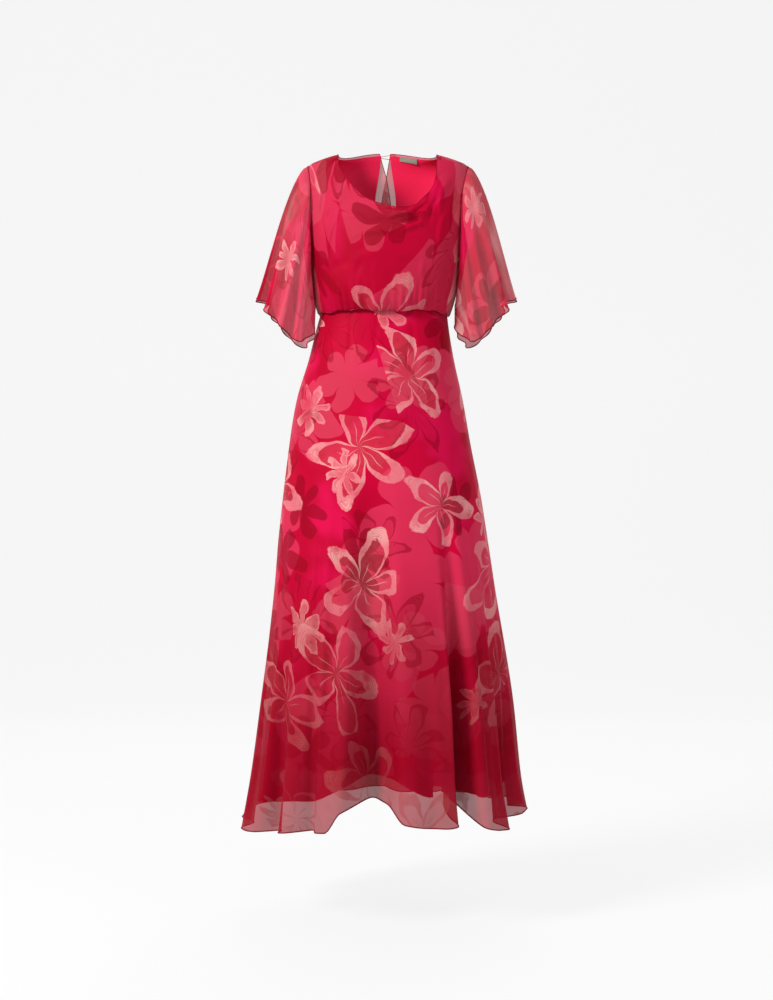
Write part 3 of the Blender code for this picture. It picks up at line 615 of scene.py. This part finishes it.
def painted_lower_shade_group():
    """Painted shade, darker down a piece where the light falls off: by Depth at End, from none at Start, in metres
    from its upper edge.
    """
    nodes, given, out = new_group(
        "painted_lower_shade", {"Colour": "Color", "Cloth Place": "Vector", "Start": 0, "End": 1, "Depth": 0.5},
        {"Colour": "Color"})
    patch = nodes.scaled(nodes.noise(given["Cloth Place"], 3), 0.3, -0.15)
    down = nodes.maths("SUBTRACT", patch, nodes.split(nodes.coordinates("UV"))["Y"])
    share = nodes.times(nodes.ramp(down, given["Start"], given["End"]), given["Depth"])
    return nodes.give(out, Colour=nodes.mix(share, given["Colour"], WINE))


def painted_highlight_streaks_group():
    """Painted highlight: pale streaks down the cloth where light catches it."""
    nodes, given, out = new_group("painted_highlight_streaks", {"Colour": "Color", "Cloth Place": "Vector", "Strength": 0.5},
                                  {"Colour": "Color"})
    streak = nodes.noise(nodes.vectors("MULTIPLY", given["Cloth Place"], (11, 1.8, 1)), 1, 3, 0.6)
    share = nodes.times(nodes.ramp(streak, 0.48, 0.7), given["Strength"])
    return nodes.give(out, Colour=nodes.mix(share, given["Colour"], SHELL))


def uneven_grain_group():
    """A fine uneven grain of thread, tape or resin: a colour between two and the grain itself."""
    nodes, given, out = new_group("uneven_grain", {"Light": "Color", "Dark": "Color", "Grain": 900},
                                  {"Colour": "Color", "Speck": "Float"})
    speck = nodes.noise(nodes.coordinates("Object"), given["Grain"], 3)
    colour = nodes.mix(nodes.ramp(speck, 0.3, 0.7), given["Dark"], given["Light"])
    return nodes.give(out, Colour=colour, Speck=speck)


# Colours, linear
GROUND_DEEP = (0.4, 0.0003, 0.02)
GROUND = (0.54, 0.0006, 0.034)
RASPBERRY = (0.62, 0.003, 0.06)
ROSE = (0.64, 0.028, 0.086)
CORAL = (0.62, 0.05, 0.1)
WINE = (0.25, 0.0003, 0.009)
SALMON = (0.66, 0.175, 0.205)
SHELL = (0.74, 0.34, 0.33)
BUMP_DEPTH = 0.0002

# A layer of printed flowers: where its scatter starts and how close it is, the petals' number, reach and clefts,
# the brush's width and wobble, how strongly outlines and petals print, and the share of flowers left out
Flowers = namedtuple("Flowers", "shift per_metre petals reach cleft brush wobble outline petal left_out")
BLOSSOMS = Flowers((3.1, 7.4, 0), 3.9, 5, 0.58, 0.3, 0.05, 0.18, 0, 1, 0.24)
PALE_BLOSSOMS = Flowers((8.3, 4.1, 0), 5.4, 6, 0.52, 0.35, 0.05, 0.22, 0, 0.6, 0.6)
DARK_BLOSSOMS = Flowers((11.7, 2.2, 0), 5.9, 6, 0.48, 0.7, 0.05, 0.2, 0, 0.72, 0.6)
DARK_STROKES = Flowers((2.7, 13.2, 0), 4.7, 7, 0.52, 0.9, 0.04, 0.34, 0.72, 0.16, 0.4)
LINE_FLOWERS = Flowers((5.35, 1.9, 0), 4.6, 5, 0.52, 0.8, 0.053, 0.3, 1, 0.1, 0.36)
SMALL_FLOWERS = Flowers((1.2, 9.6, 0), 8.6, 7, 0.46, 1, 0.055, 0.36, 1, 0.5, 0.8)

PRINT = chiffon_print_group(flower_scatter_group())
WEAVE = fine_weave_group()
# painted shade, darker down a piece
LOWER_SHADE = painted_lower_shade_group()
# painted highlight, pale streaks down the cloth
HIGHLIGHT_STREAKS = painted_highlight_streaks_group()
UNEVEN_GRAIN = uneven_grain_group()


def new_material(name):
    material = bpy.data.materials.new(name)
    material.use_nodes = True
    return material, Shader(material.node_tree), material.node_tree.nodes["Principled BSDF"].inputs


def printed_chiffon(name, shift, cover, deep=None, streak_highlight=0):
    """Sheer printed cloth; cover is how much it hides, deep where painted shade darkens it down the piece, and
    faded how strongly painted highlight streaks lighten it.
    """
    material, nodes, sockets = new_material(name)
    place = nodes.cloth_place(shift)
    printed = nodes.group(PRINT, Cloth_Place=place)
    weave = nodes.group(WEAVE, Cloth_Place=place, Threads_per_Metre=1400)
    colour = printed["Colour"]
    # Painted highlight: pale streaks where light catches the cloth
    if streak_highlight:
        colour = nodes.group(HIGHLIGHT_STREAKS, Colour=colour, Cloth_Place=place, Strength=streak_highlight)["Colour"]
    # Painted shade: darker down the piece
    if deep:
        colour = nodes.shaded_lower(colour, place, deep)
    alpha = nodes.scaled(printed["Ink"], 0.1, nodes.scaled(weave["Clouds"], 0.1, cover - 0.05))
    nodes.give(sockets, Base_Color=colour, Alpha=nodes.scaled(weave["Openness"], -0.03, alpha, clamp=True),
               Roughness=nodes.scaled(weave["Clouds"], 0.1, 0.5), Specular_IOR_Level=0.03, Sheen_Weight=0.03,
               Sheen_Roughness=0.45, Sheen_Tint=(1, 0.3, 0.38), Normal=nodes.bump(weave["Height"], 0.12))
    return material


def plain_satin(name, colour, shift, deep=None):
    """The lining: smooth, closely woven, with a soft gloss; deep is where painted shade darkens it down the piece.
    """
    material, nodes, sockets = new_material(name)
    place = nodes.cloth_place(shift)
    weave = nodes.group(WEAVE, Cloth_Place=place, Threads_per_Metre=2200)
    darker = tuple(0.82 * value for value in colour)
    tone_and_shade = nodes.mix(nodes.ramp(weave["Clouds"], 0.3, 0.7), darker, colour)
    # Painted shade: darker down the piece
    if deep:
        tone_and_shade = nodes.shaded_lower(tone_and_shade, place, deep)
    nodes.give(sockets, Base_Color=tone_and_shade, Roughness=nodes.scaled(weave["Height"], 0.08, 0.45),
               Specular_IOR_Level=0.1, Normal=nodes.bump(weave["Height"], 0.15))
    return material


def small_trim(name, colour, roughness, grain, gloss):
    """Thread, tape and resin: one colour with a fine uneven grain."""
    material, nodes, sockets = new_material(name)
    darker = tuple(0.7 * value for value in colour)
    grained = nodes.group(UNEVEN_GRAIN, Light=colour, Dark=darker, Grain=grain)
    speck = grained["Speck"]
    nodes.give(sockets, Base_Color=grained["Colour"], Roughness=nodes.scaled(speck, 0.15, roughness - 0.07),
               Specular_IOR_Level=gloss, Normal=nodes.bump(speck, 0.3))
    return material


# ---- Fine creases, on top of the dress's own folds ----

# A long crease of the skirt: bearing, half angle, reach out (+) or in, where it starts, how its bearing drifts per
# metre down, and where it ends if above the hem
Crease = namedtuple("Crease", "bearing half_angle reach start drift end", defaults=(0, -1.4))
SKIRT_CREASES = table(Crease, (
    (-64, 7, -0.005, -0.52, -4), (-43, 5, 0.0045, -0.7, 3), (-22, 6, -0.0055, -0.6, -5), (-13, 4, 0.004, -0.9, 0),
    (8, 5, 0.0045, -0.75, 4), (17, 4.5, -0.005, -0.95, 3), (41, 6, 0.005, -0.58, 4), (53, 4, -0.005, -0.85, -3),
    (76, 6, 0.005, -0.66, 2), (104, 5, 0.0045, -0.8, -3), (131, 7, 0.006, -0.62, 4), (160, 5, -0.005, -0.9, -4),
    (-168, 6, 0.005, -0.74, 3), (-139, 5, 0.0055, -0.96, 2), (-111, 6, 0.0045, -0.7, -4),
    (-98, 5, -0.005, -0.86, 3), (-35, 3.2, -0.0075, -0.62, 6), (-28.5, 2.8, 0.006, -0.72, 4),
    (-50, 3.5, -0.007, -0.66, -3), (-57, 3.2, 0.006, -0.8, 2), (27, 3, 0.006, -0.8, 3),
    (48, 3, -0.0065, -0.7, -2), (62, 3, 0.0055, -0.76, 3), (-28, 4, -0.002, -0.325, 40, -0.44),
    (-4, 3, -0.0018, -0.325, -30, -0.4), (22, 4, -0.0022, -0.325, 20, -0.46),
    (58, 5, -0.0022, -0.325, -40, -0.43), (-61, 5, -0.002, -0.325, 30, -0.45),
    (122, 5, -0.0022, -0.325, 30, -0.44), (171, 5, -0.0022, -0.325, -30, -0.42),
    (-134, 5, -0.0022, -0.325, 20, -0.45),
))

# A soft trough (-) or ridge of the bodice: middle, length, half width, lean from level in degrees, reach
Wrinkle = namedtuple("Wrinkle", "x height length half_width lean reach")
WRINKLES = {
    "front": table(Wrinkle, (
        (-0.115, -0.12, 0.06, 0.01, 62, -0.0045), (-0.1, -0.1, 0.07, 0.009, 50, 0.0033),
        (-0.06, -0.128, 0.09, 0.011, -18, 0.0039), (0.01, -0.138, 0.11, 0.009, -4, -0.0045),
        (0.034, -0.124, 0.09, 0.006, 10, 0.0065), (0.048, -0.137, 0.09, 0.006, 18, -0.006),
        (0.058, -0.149, 0.09, 0.007, 24, 0.0055), (0.07, -0.112, 0.07, 0.006, 42, -0.006),
        (0.082, -0.122, 0.08, 0.01, 58, 0.0051), (0.098, -0.11, 0.1, 0.008, 70, -0.0051),
        (0.118, -0.15, 0.12, 0.01, 78, 0.0045), (0.134, -0.17, 0.12, 0.008, 84, -0.0045),
        (-0.02, -0.205, 0.13, 0.016, 8, 0.0033), (0.06, -0.225, 0.1, 0.014, -12, -0.0033),
        (-0.1, -0.232, 0.08, 0.012, 30, -0.0039), (0.112, -0.25, 0.07, 0.01, -40, -0.0042),
        (-0.135, -0.262, 0.06, 0.009, 48, -0.0042), (-0.132, -0.1, 0.15, 0.007, 84, -0.0054),
        (-0.118, -0.175, 0.15, 0.008, 80, 0.0048), (0.1, -0.06, 0.11, 0.009, 66, -0.006),
        (0.12, -0.075, 0.12, 0.009, 74, 0.0054), (-0.01, -0.16, 0.15, 0.013, -3, 0.0054),
        (-0.06, -0.262, 0.11, 0.009, 84, -0.0048), (-0.022, -0.27, 0.1, 0.008, 95, 0.0045),
        (0.03, -0.268, 0.1, 0.008, 86, -0.0048), (0.078, -0.262, 0.11, 0.009, 98, 0.0048),
    )),
    "back": table(Wrinkle, (
        (-0.08, -0.11, 0.1, 0.012, 40, -0.0036), (0.084, -0.12, 0.1, 0.012, -42, -0.0036),
        (-0.04, -0.19, 0.12, 0.015, 12, 0.0033), (0.052, -0.205, 0.12, 0.014, -10, -0.0033),
        (-0.1, -0.242, 0.08, 0.011, -30, -0.0036), (0.105, -0.236, 0.08, 0.011, 34, 0.0036),
    )),
}
WRINKLE_END_RUN = 0.3
WAIST_PUCKERS = 31  # fine gathers of the blouse above the waist seam, on each half of the body
PUCKER_REACH = 0.002
PUCKER_RUNS = (0.285, 0.35, 0.368, 0.378)
BLOUSE_DIP = 0.0036  # how unevenly the blouse hangs over the waist
DIP_RUNS = (0.33, 0.36, 0.366, 0.378)
SEAM_CALM = 0.06  # the share of the half width beside the seams that stays free of wrinkles
LINING_RIPPLE = 0.0015

# Fine folds of a sleeve: here the bearing is the turn, and the start is a share of the way down
SLEEVE_CREASES = table(Crease, (
    (12, 7, -0.007, 0.1), (24, 6, 0.0049, 0.3), (50, 7, 0.0063, 0.2), (81, 7, 0.0056, 0.15),
    (112, 7, -0.0056, 0.3), (150, 8, 0.0049, 0.25), (-14, 7, 0.0056, 0.2), (-47, 7, -0.0063, 0.12),
    (-82, 7, 0.0063, 0.25), (-116, 7, 0.0056, 0.2), (-150, 8, -0.0049, 0.3),
))


def fine_skirt_point(bearing, height):
    offset = skirt_offset(bearing, height)
    for crease in SKIRT_CREASES:
        if crease.end < height < crease.start:
            drift = crease.drift * (height - crease.start)
            across = hump(angle_between(bearing, crease.bearing - drift), crease.half_angle)
            down = (crease.start - height) / (crease.start - crease.end)
            strength = smooth(1.4 * down) if crease.end < HEM_HEIGHT else math.sin(math.pi * down)
            offset += crease.reach * across * strength
    return skirt_point(bearing, height, offset)


def fine_lining_point(bearing, height):
    """The lining lies inside the chiffon, bridges its folds and ripples a little."""
    offset = min(skirt_offset(bearing + spread, height) for spread in LINING_SPREAD)
    ripple = LINING_RIPPLE * smooth((-0.5 - height) / 0.6) * math.sin(math.radians(9 * bearing) + 6 * height)
    return skirt_point(bearing, height, offset + ripple - read_table(SKIRT, height).ease)


def wrinkle_reach(side, x, height):
    total = 0
    for wrinkle in WRINKLES[side]:
        rise, level = circle(wrinkle.lean)
        right, up = x - wrinkle.x, height - wrinkle.height
        along = right * level + up * rise
        across = up * level - right * rise + 0.6 * along * along / wrinkle.length
        total += wrinkle.reach * hump(along, 0.5 * wrinkle.length) * hump(across, wrinkle.half_width)
    return total


def fine_trunk_point(panel, x, run, girth):
    """A point of a bodice panel with its wrinkles and the fine puckers above the waist seam."""
    x, y, z = trunk_point(panel, x, run, girth)
    if panel.lining:
        return x, y, z
    sag = math.sin(3 * TURN * girth + 1.1) + 0.7 * math.sin(8 * TURN * girth + 0.4)
    z += BLOUSE_DIP * swell(run, *DIP_RUNS) * sag / 1.7
    wave = math.sin(TURN * WAIST_PUCKERS * girth + 1.9 * math.sin(9 * girth))
    pucker = PUCKER_REACH * swell(run, *PUCKER_RUNS) * wave * (0.7 + 0.3 * math.sin(23 * girth))
    inward = 1 - min(1, abs(x) / half_width(read_table(BODICE, run), x))
    reach = wrinkle_reach(panel.side, x, z) * smooth((WRINKLE_END_RUN - run) / 0.03) + pucker
    reach *= smooth(inward / SEAM_CALM)
    return x, y - reach if panel.side == "front" else y + reach, z


def fine_sleeve_point(sign, turn, share):
    x, y, z = sleeve_point(sign, turn, share)
    reach = 0
    for crease in SLEEVE_CREASES:
        down = (share - crease.start) / (1 - crease.start)
        reach += crease.reach * smooth(down) * hump(angle_between(turn, crease.bearing), crease.half_angle)
    along, across = circle(turn)
    return clear_of_body(x + sign * across * reach, y - along * reach, z, share)


# ---- Meshes ----

def placed(name, data):
    """An object of the scene for a mesh, a lamp or a camera."""
    thing = bpy.data.objects.new(name, data)
    bpy.context.scene.collection.objects.link(thing)
    return thing


def formed(shape, name, material):
    """Makes an object of a shape."""
    mesh = bpy.data.meshes.new(name)
    shape.to_mesh(mesh)
    shape.free()
    mesh.materials.append(material)
    return placed(name, mesh)


def finished(shape, name, material):
    """Makes a piece of the dress."""
    piece = formed(shape, name, material)
    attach(piece, "root")
    return piece


edges = defaultdict(list)  # and what is sewn along them


def cloth_sheet(node, grid, material, closed=False):
    """A thin sheet through rows of points; its UV is its place on the flat cloth in metres."""
    if closed:
        grid = [line + [line[0]] for line in grid]
    shape = bmesh.new()
    uv = shape.loops.layers.uv.new("cloth")
    lines, places = [], []
    down = [0] * len(grid[0])
    for row, line in enumerate(grid):
        corners = [shape.verts.new(point) for point in (line[:-1] if closed else line)]
        lines.append(corners + corners[:1] if closed else corners)
        lengths = [0]
        for here, after in zip(line, line[1:]):
            lengths.append(lengths[-1] + math.dist(here, after))
        if row:
            down = [length + math.dist(*ends) for length, *ends in zip(down, grid[row - 1], line)]
        centre = lengths[len(lengths) // 2]
        places.append([(length - centre, -depth) for length, depth in zip(lengths, down)])
    for row in range(len(grid) - 1):
        for index in range(len(grid[0]) - 1):
            corners = ((row, index), (row + 1, index), (row + 1, index + 1), (row, index + 1))
            face = shape.faces.new([lines[line][place] for line, place in corners])
            face.smooth = True
            for loop, (line, place) in zip(face.loops, corners):
                loop[uv].uv = places[line][place]
    finished(shape, node + "_cloth", material)
    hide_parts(node)


def rolled_edge(node, name, path, radius, material, closed=False):
    """A narrow rolled hem: a thin six-sided tube along an edge of the cloth."""
    sides, count = 6, len(path)
    shape = bmesh.new()
    rings = []
    for index, point in enumerate(path):
        before = path[index - 1 if closed else max(index - 1, 0)]
        after = path[(index + 1) % count if closed else min(index + 1, count - 1)]
        heading = (Vector(after) - Vector(before)).normalized()
        side = heading.cross(Vector((0, 0, 1)))
        side = side.normalized() if side.length > 1e-6 else Vector((1, 0, 0))
        up = side.cross(heading).normalized()
        turns = [TURN * step / sides for step in range(sides)]
        rings.append([shape.verts.new(Vector(point) + radius * (math.cos(turn) * side + math.sin(turn) * up))
                      for turn in turns])
    for here, after in zip(rings, rings[1:] + rings[:1] if closed else rings[1:]):
        for step in range(sides):
            corners = (here[step], here[(step + 1) % sides], after[(step + 1) % sides], after[step])
            shape.faces.new(corners).smooth = True
    if not closed:
        shape.faces.new(rings[0][::-1])
        shape.faces.new(rings[-1])
    bmesh.ops.recalc_face_normals(shape, faces=shape.faces)
    edges[node].append(finished(shape, name, material))


def skirt_grid(first_bearing, point_at, columns, rows, hem_rise=0, hem_spread=0):
    """Rows of points of half a skirt, from one side seam to the other, waist to hem."""
    path = [skirt_point(bearing, HEM_HEIGHT, skirt_offset(bearing, HEM_HEIGHT))
            for bearing in (first_bearing + 0.25 * step for step in range(721))]
    bearings = [first_bearing + 180 * place for place in even_places(path, columns)]
    hems = [hem_height(bearing, hem_spread) + hem_rise for bearing in bearings]
    return [[point_at(bearing, WAIST_HEIGHT + (hem - WAIST_HEIGHT) * (row / rows) ** 0.9)
             for bearing, hem in zip(bearings, hems)] for row in range(rows + 1)]


def bodice_grid(panel, columns, side_stops):
    """Columns start evenly along the neck edge and end evenly spread at the waist; rows follow the side's edge."""
    start_run = BODICE[1].run + panel.margin
    ends = panel.first, panel.last
    start, end = (panel_edge(panel, bearing, start_run) for bearing in ends)
    neck_xs = [start + (end - start) * step / 480 for step in range(481)]
    neck_places = even_places([trunk_point(panel, x, neck_run(panel, x)) for x in neck_xs], columns)
    grid = []
    for side_run in side_rows(panel, start_run, side_stops):
        blend = max(0, (EVEN_RUN - side_run) / (EVEN_RUN - start_run))
        line = []
        for number, place in enumerate(neck_places):
            column = number / columns
            neck_x = start + (end - start) * place
            run = side_run + blend * (neck_run(panel, neck_x) - start_run)
            first, last = (panel_edge(panel, bearing, side_run if bearing else run) for bearing in ends)
            straight = first * (1 - column) + last * column
            bow = neck_x - (start * (1 - column) + end * column)
            x = straight + blend * bow + (1 - blend) * (even_x(panel, column, run) - straight)
            girth = 0.5 + (panel.first + (panel.last - panel.first) * column) / 180
            line.append(fine_trunk_point(panel, x, run, girth))
        grid.append(line)
    return grid


# ---- The dress ----

HEM_THREAD = small_trim("rolled_hem_thread", (0.19, 0.001, 0.014), 0.8, 900, 0.05)
SEAM_THREAD = small_trim("seam_thread", (0.38, 0.003, 0.032), 0.8, 900, 0.03)
SATIN_RED = (0.85, 0.015, 0.08)
SATIN_SKIRT = (0.64, 0.002, 0.036)
# Painted shade down a piece: where it starts and stops darkening, and how far
HEM_LOWER_SHADE = (0.45, 0.98, 0.88)
BODICE_LOWER_SHADE = (-0.4, 0.5, 0.5)

# Rows down the side of a panel: the run of each stop, and how many rows there are up to it
SIDE_STOPS = ((SHOULDER_RUN, 8), (UNDERARM_RUN, 24), (EVEN_RUN, 8), (0.31, 10), (0.356, 12), (0.371, 8), (0.378, 4))
LINING_STOPS = ((0.028, 3), (LINING_ARMHOLE[-1].run, 16), (EVEN_RUN, 5), (LINING_END_RUN, 10))

SLEEVE_COLUMNS = 150
SLEEVE_ROWS = 46

# Radii of the rolled edges
SKIRT_HEM_RADIUS = 0.0013
SLEEVE_HEM_RADIUS = 0.0012
ARMHOLE_RADIUS = 0.0011
NECK_RADIUS = 0.0008
SLIT_RADIUS = 0.0007

grids = {}
# The bodice front gets painted shade, darker towards the waist
for node, columns, shift, cover, deep in (
    ("bodice_front", 132, (1.3, 3.62), 0.88, BODICE_LOWER_SHADE),
    ("bodice_back_left", 64, (1.9, 0.4), 0.76, None),
    ("bodice_back_right", 64, (1.66, 0.4), 0.76, None),
):
    label = node.replace("bodice_back", "back")
    grids[node] = bodice_grid(PANELS[node], columns, SIDE_STOPS)
    cloth_sheet(node, grids[node], printed_chiffon(label + "_print", shift, cover, deep))

for place, columns, shift in (("front", 72, 0), ("back_left", 40, 0.3), ("back_right", 40, 0.6)):
    label = "lining_" + place
    grid = bodice_grid(PANELS["bodice_" + label], columns, LINING_STOPS)
    cloth_sheet("bodice_" + label, grid, plain_satin(label + "_weave", SATIN_RED, (shift, 0)))

# The last number is how strongly painted highlight streaks lighten each sleeve
for node, sign, shift, streak_highlight in (("sleeve_right", -1, (4.2, 1.3), 0.45), ("sleeve_left", 1, (6.4, 2.7), 0.8)):
    places = even_places([sleeve_point(sign, 0.5 * step - 180, 1) for step in range(721)], SLEEVE_COLUMNS)
    turns = [360 * place - 180 for place in places[:-1]][::-sign]
    grid = [[fine_sleeve_point(sign, turn, (row / SLEEVE_ROWS) ** 1.05) for turn in turns]
            for row in range(SLEEVE_ROWS + 1)]
    cloth_sheet(node, grid, printed_chiffon(node + "_print", shift, 0.78, streak_highlight=streak_highlight), closed=True)
    rolled_edge(node, node + "_rolled_hem", grid[-1], SLEEVE_HEM_RADIUS, HEM_THREAD, closed=True)
    rolled_edge(node, node + "_armhole_seam", grid[0], ARMHOLE_RADIUS, SEAM_THREAD, closed=True)

# The skirt and its lining get painted shade, darker towards the hem
for place, first, shift in (("front", -90, (0.35, 0.9)), ("back", 90, (2.9, 2.2))):
    node = "skirt_" + place
    grid = skirt_grid(first, fine_skirt_point, columns=190, rows=84)
    cloth_sheet(node, grid, printed_chiffon(node + "_print", shift, 0.85, HEM_LOWER_SHADE))
    rolled_edge(node, node + "_rolled_hem", grid[-1], SKIRT_HEM_RADIUS, HEM_THREAD)
    node = "skirt_lining_" + place
    grid = skirt_grid(first, fine_lining_point, columns=110, rows=44, hem_rise=LINING_HEM_RISE,
                      hem_spread=LINING_HEM_SPREAD)
    cloth_sheet(node, grid, plain_satin(node + "_weave", SATIN_SKIRT, shift, HEM_LOWER_SHADE))

for node, grid in grids.items():
    name = node.replace("bodice_", "") + "_neck_edge"
    rolled_edge(node, name, grid[0], NECK_RADIUS, SEAM_THREAD)
for side, column in (("left", -1), ("right", 0)):
    node = "bodice_back_" + side
    path = [line[column] for line in grids[node] if line[column][2] > SLIT_END]
    rolled_edge(node, "slit_" + side + "_edge", path, SLIT_RADIUS, HEM_THREAD)

for node, colour, roughness, grain, gloss in (
    ("neck_label", (0.31, 0.33, 0.26), 0.8, 1500, 0.05),
    ("neck_button", (0.6, 0.57, 0.52), 0.35, 300, 0.5),
    ("button_loop", (0.3, 0.01, 0.04), 0.8, 1800, 0.05),
):
    material = small_trim(node + "_finish", colour, roughness, grain, gloss)
    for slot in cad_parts[node].material_slots:
        slot.material = material

# Each sheet as it was cut, before it was gathered and hung: greatest width and length, and the cut's area
for node, width, length, area, rests_on in (
    ("bodice_front", 0.56, 0.46, 0.142, "bodice_lining_front"),
    ("bodice_back_left", 0.24, 0.455, 0.08, "bodice_lining_back_left"),
    ("bodice_back_right", 0.235, 0.455, 0.079, "bodice_lining_back_right"),
    ("bodice_lining_front", 0.5, 0.465, 0.103, "bodice_lining_back_left"),
    ("bodice_lining_back_left", 0.22, 0.455, 0.062, "bodice_lining_front"),
    ("bodice_lining_back_right", 0.22, 0.465, 0.058, "bodice_lining_front"),
    ("sleeve_right", 0.72, 0.315, 0.128, "bodice_front"),
    ("sleeve_left", 0.72, 0.315, 0.129, "bodice_front"),
    ("skirt_front", 1.31, 1.12, 0.79, "bodice_front"),
    ("skirt_back", 1.35, 1.115, 0.81, "bodice_back_left"),
    ("skirt_lining_front", 1.06, 1.055, 0.66, "bodice_lining_front"),
    ("skirt_lining_back", 0.93, 1.05, 0.64, "bodice_lining_back_left"),
):
    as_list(edges[node])

# ---- Studio ----

CAMERA_DISTANCE = 3.7
CAMERA_HEIGHT = -0.72
FRAME_HEIGHT = 2.15  # what the picture spans from top to bottom at the dress
FLOOR_HEIGHT = -1.6
FLOOR_BEND = 1.5  # radius of the bend from the floor up into the wall


def studio():
    scene = bpy.context.scene
    turns = [circle(90 * step / 16) for step in range(17)]
    bend = [(3 + FLOOR_BEND * rise, FLOOR_HEIGHT + FLOOR_BEND * (1 - level)) for rise, level in turns]
    profile = [(-9, FLOOR_HEIGHT), *bend, (3 + FLOOR_BEND, 6)]
    floor = bmesh.new()
    rows = [[floor.verts.new((side, y, z)) for side in (-11, 11)] for y, z in profile]
    for lower, upper in zip(rows, rows[1:]):
        floor.faces.new((lower[0], lower[1], upper[1], upper[0])).smooth = True
    paper, nodes, sockets = new_material("studio_paper")
    nodes.give(sockets, Base_Color=(0.12, 0.12, 0.12), Roughness=0.9, Emission_Color=(1, 1, 1),
               Emission_Strength=0.79)
    formed(floor, "studio_floor", paper)
    world = bpy.data.worlds.new("soft_white")
    world.use_nodes = True
    nodes = Shader(world.node_tree)
    seen = nodes.node("LightPath")["Is Camera Ray"]
    nodes.give(world.node_tree.nodes["Background"].inputs, Color=(1, 1, 1), Strength=nodes.scaled(seen, 0.52, 0.4))
    scene.world = world
    for name, place, size, power in (
        ("key", (-3, -2.5, 1.7), 1.3, 215), ("fill", (2.8, -3.2, 0), 2.4, 45), ("rim", (0.6, 2.6, 2.2), 2, 30),
    ):
        lamp = bpy.data.lights.new(name, "AREA")
        lamp.size = size
        lamp.energy = power
        light = placed(name, lamp)
        light.location = place
        light.rotation_euler = (Vector((0, 0, -0.6)) - Vector(place)).to_track_quat("-Z", "Y").to_euler()
    lens = bpy.data.cameras.new("camera")
    lens.sensor_width = 36
    lens.lens = 36 * CAMERA_DISTANCE / FRAME_HEIGHT
    scene.camera = placed("camera", lens)
    scene.camera.location = (0.0043, -CAMERA_DISTANCE, CAMERA_HEIGHT)
    scene.camera.rotation_euler = (math.radians(90), 0, 0)
    scene.view_settings.view_transform = "Standard"
    scene.view_settings.look = "None"
    scene.cycles.transparent_max_bounces = 24


studio()
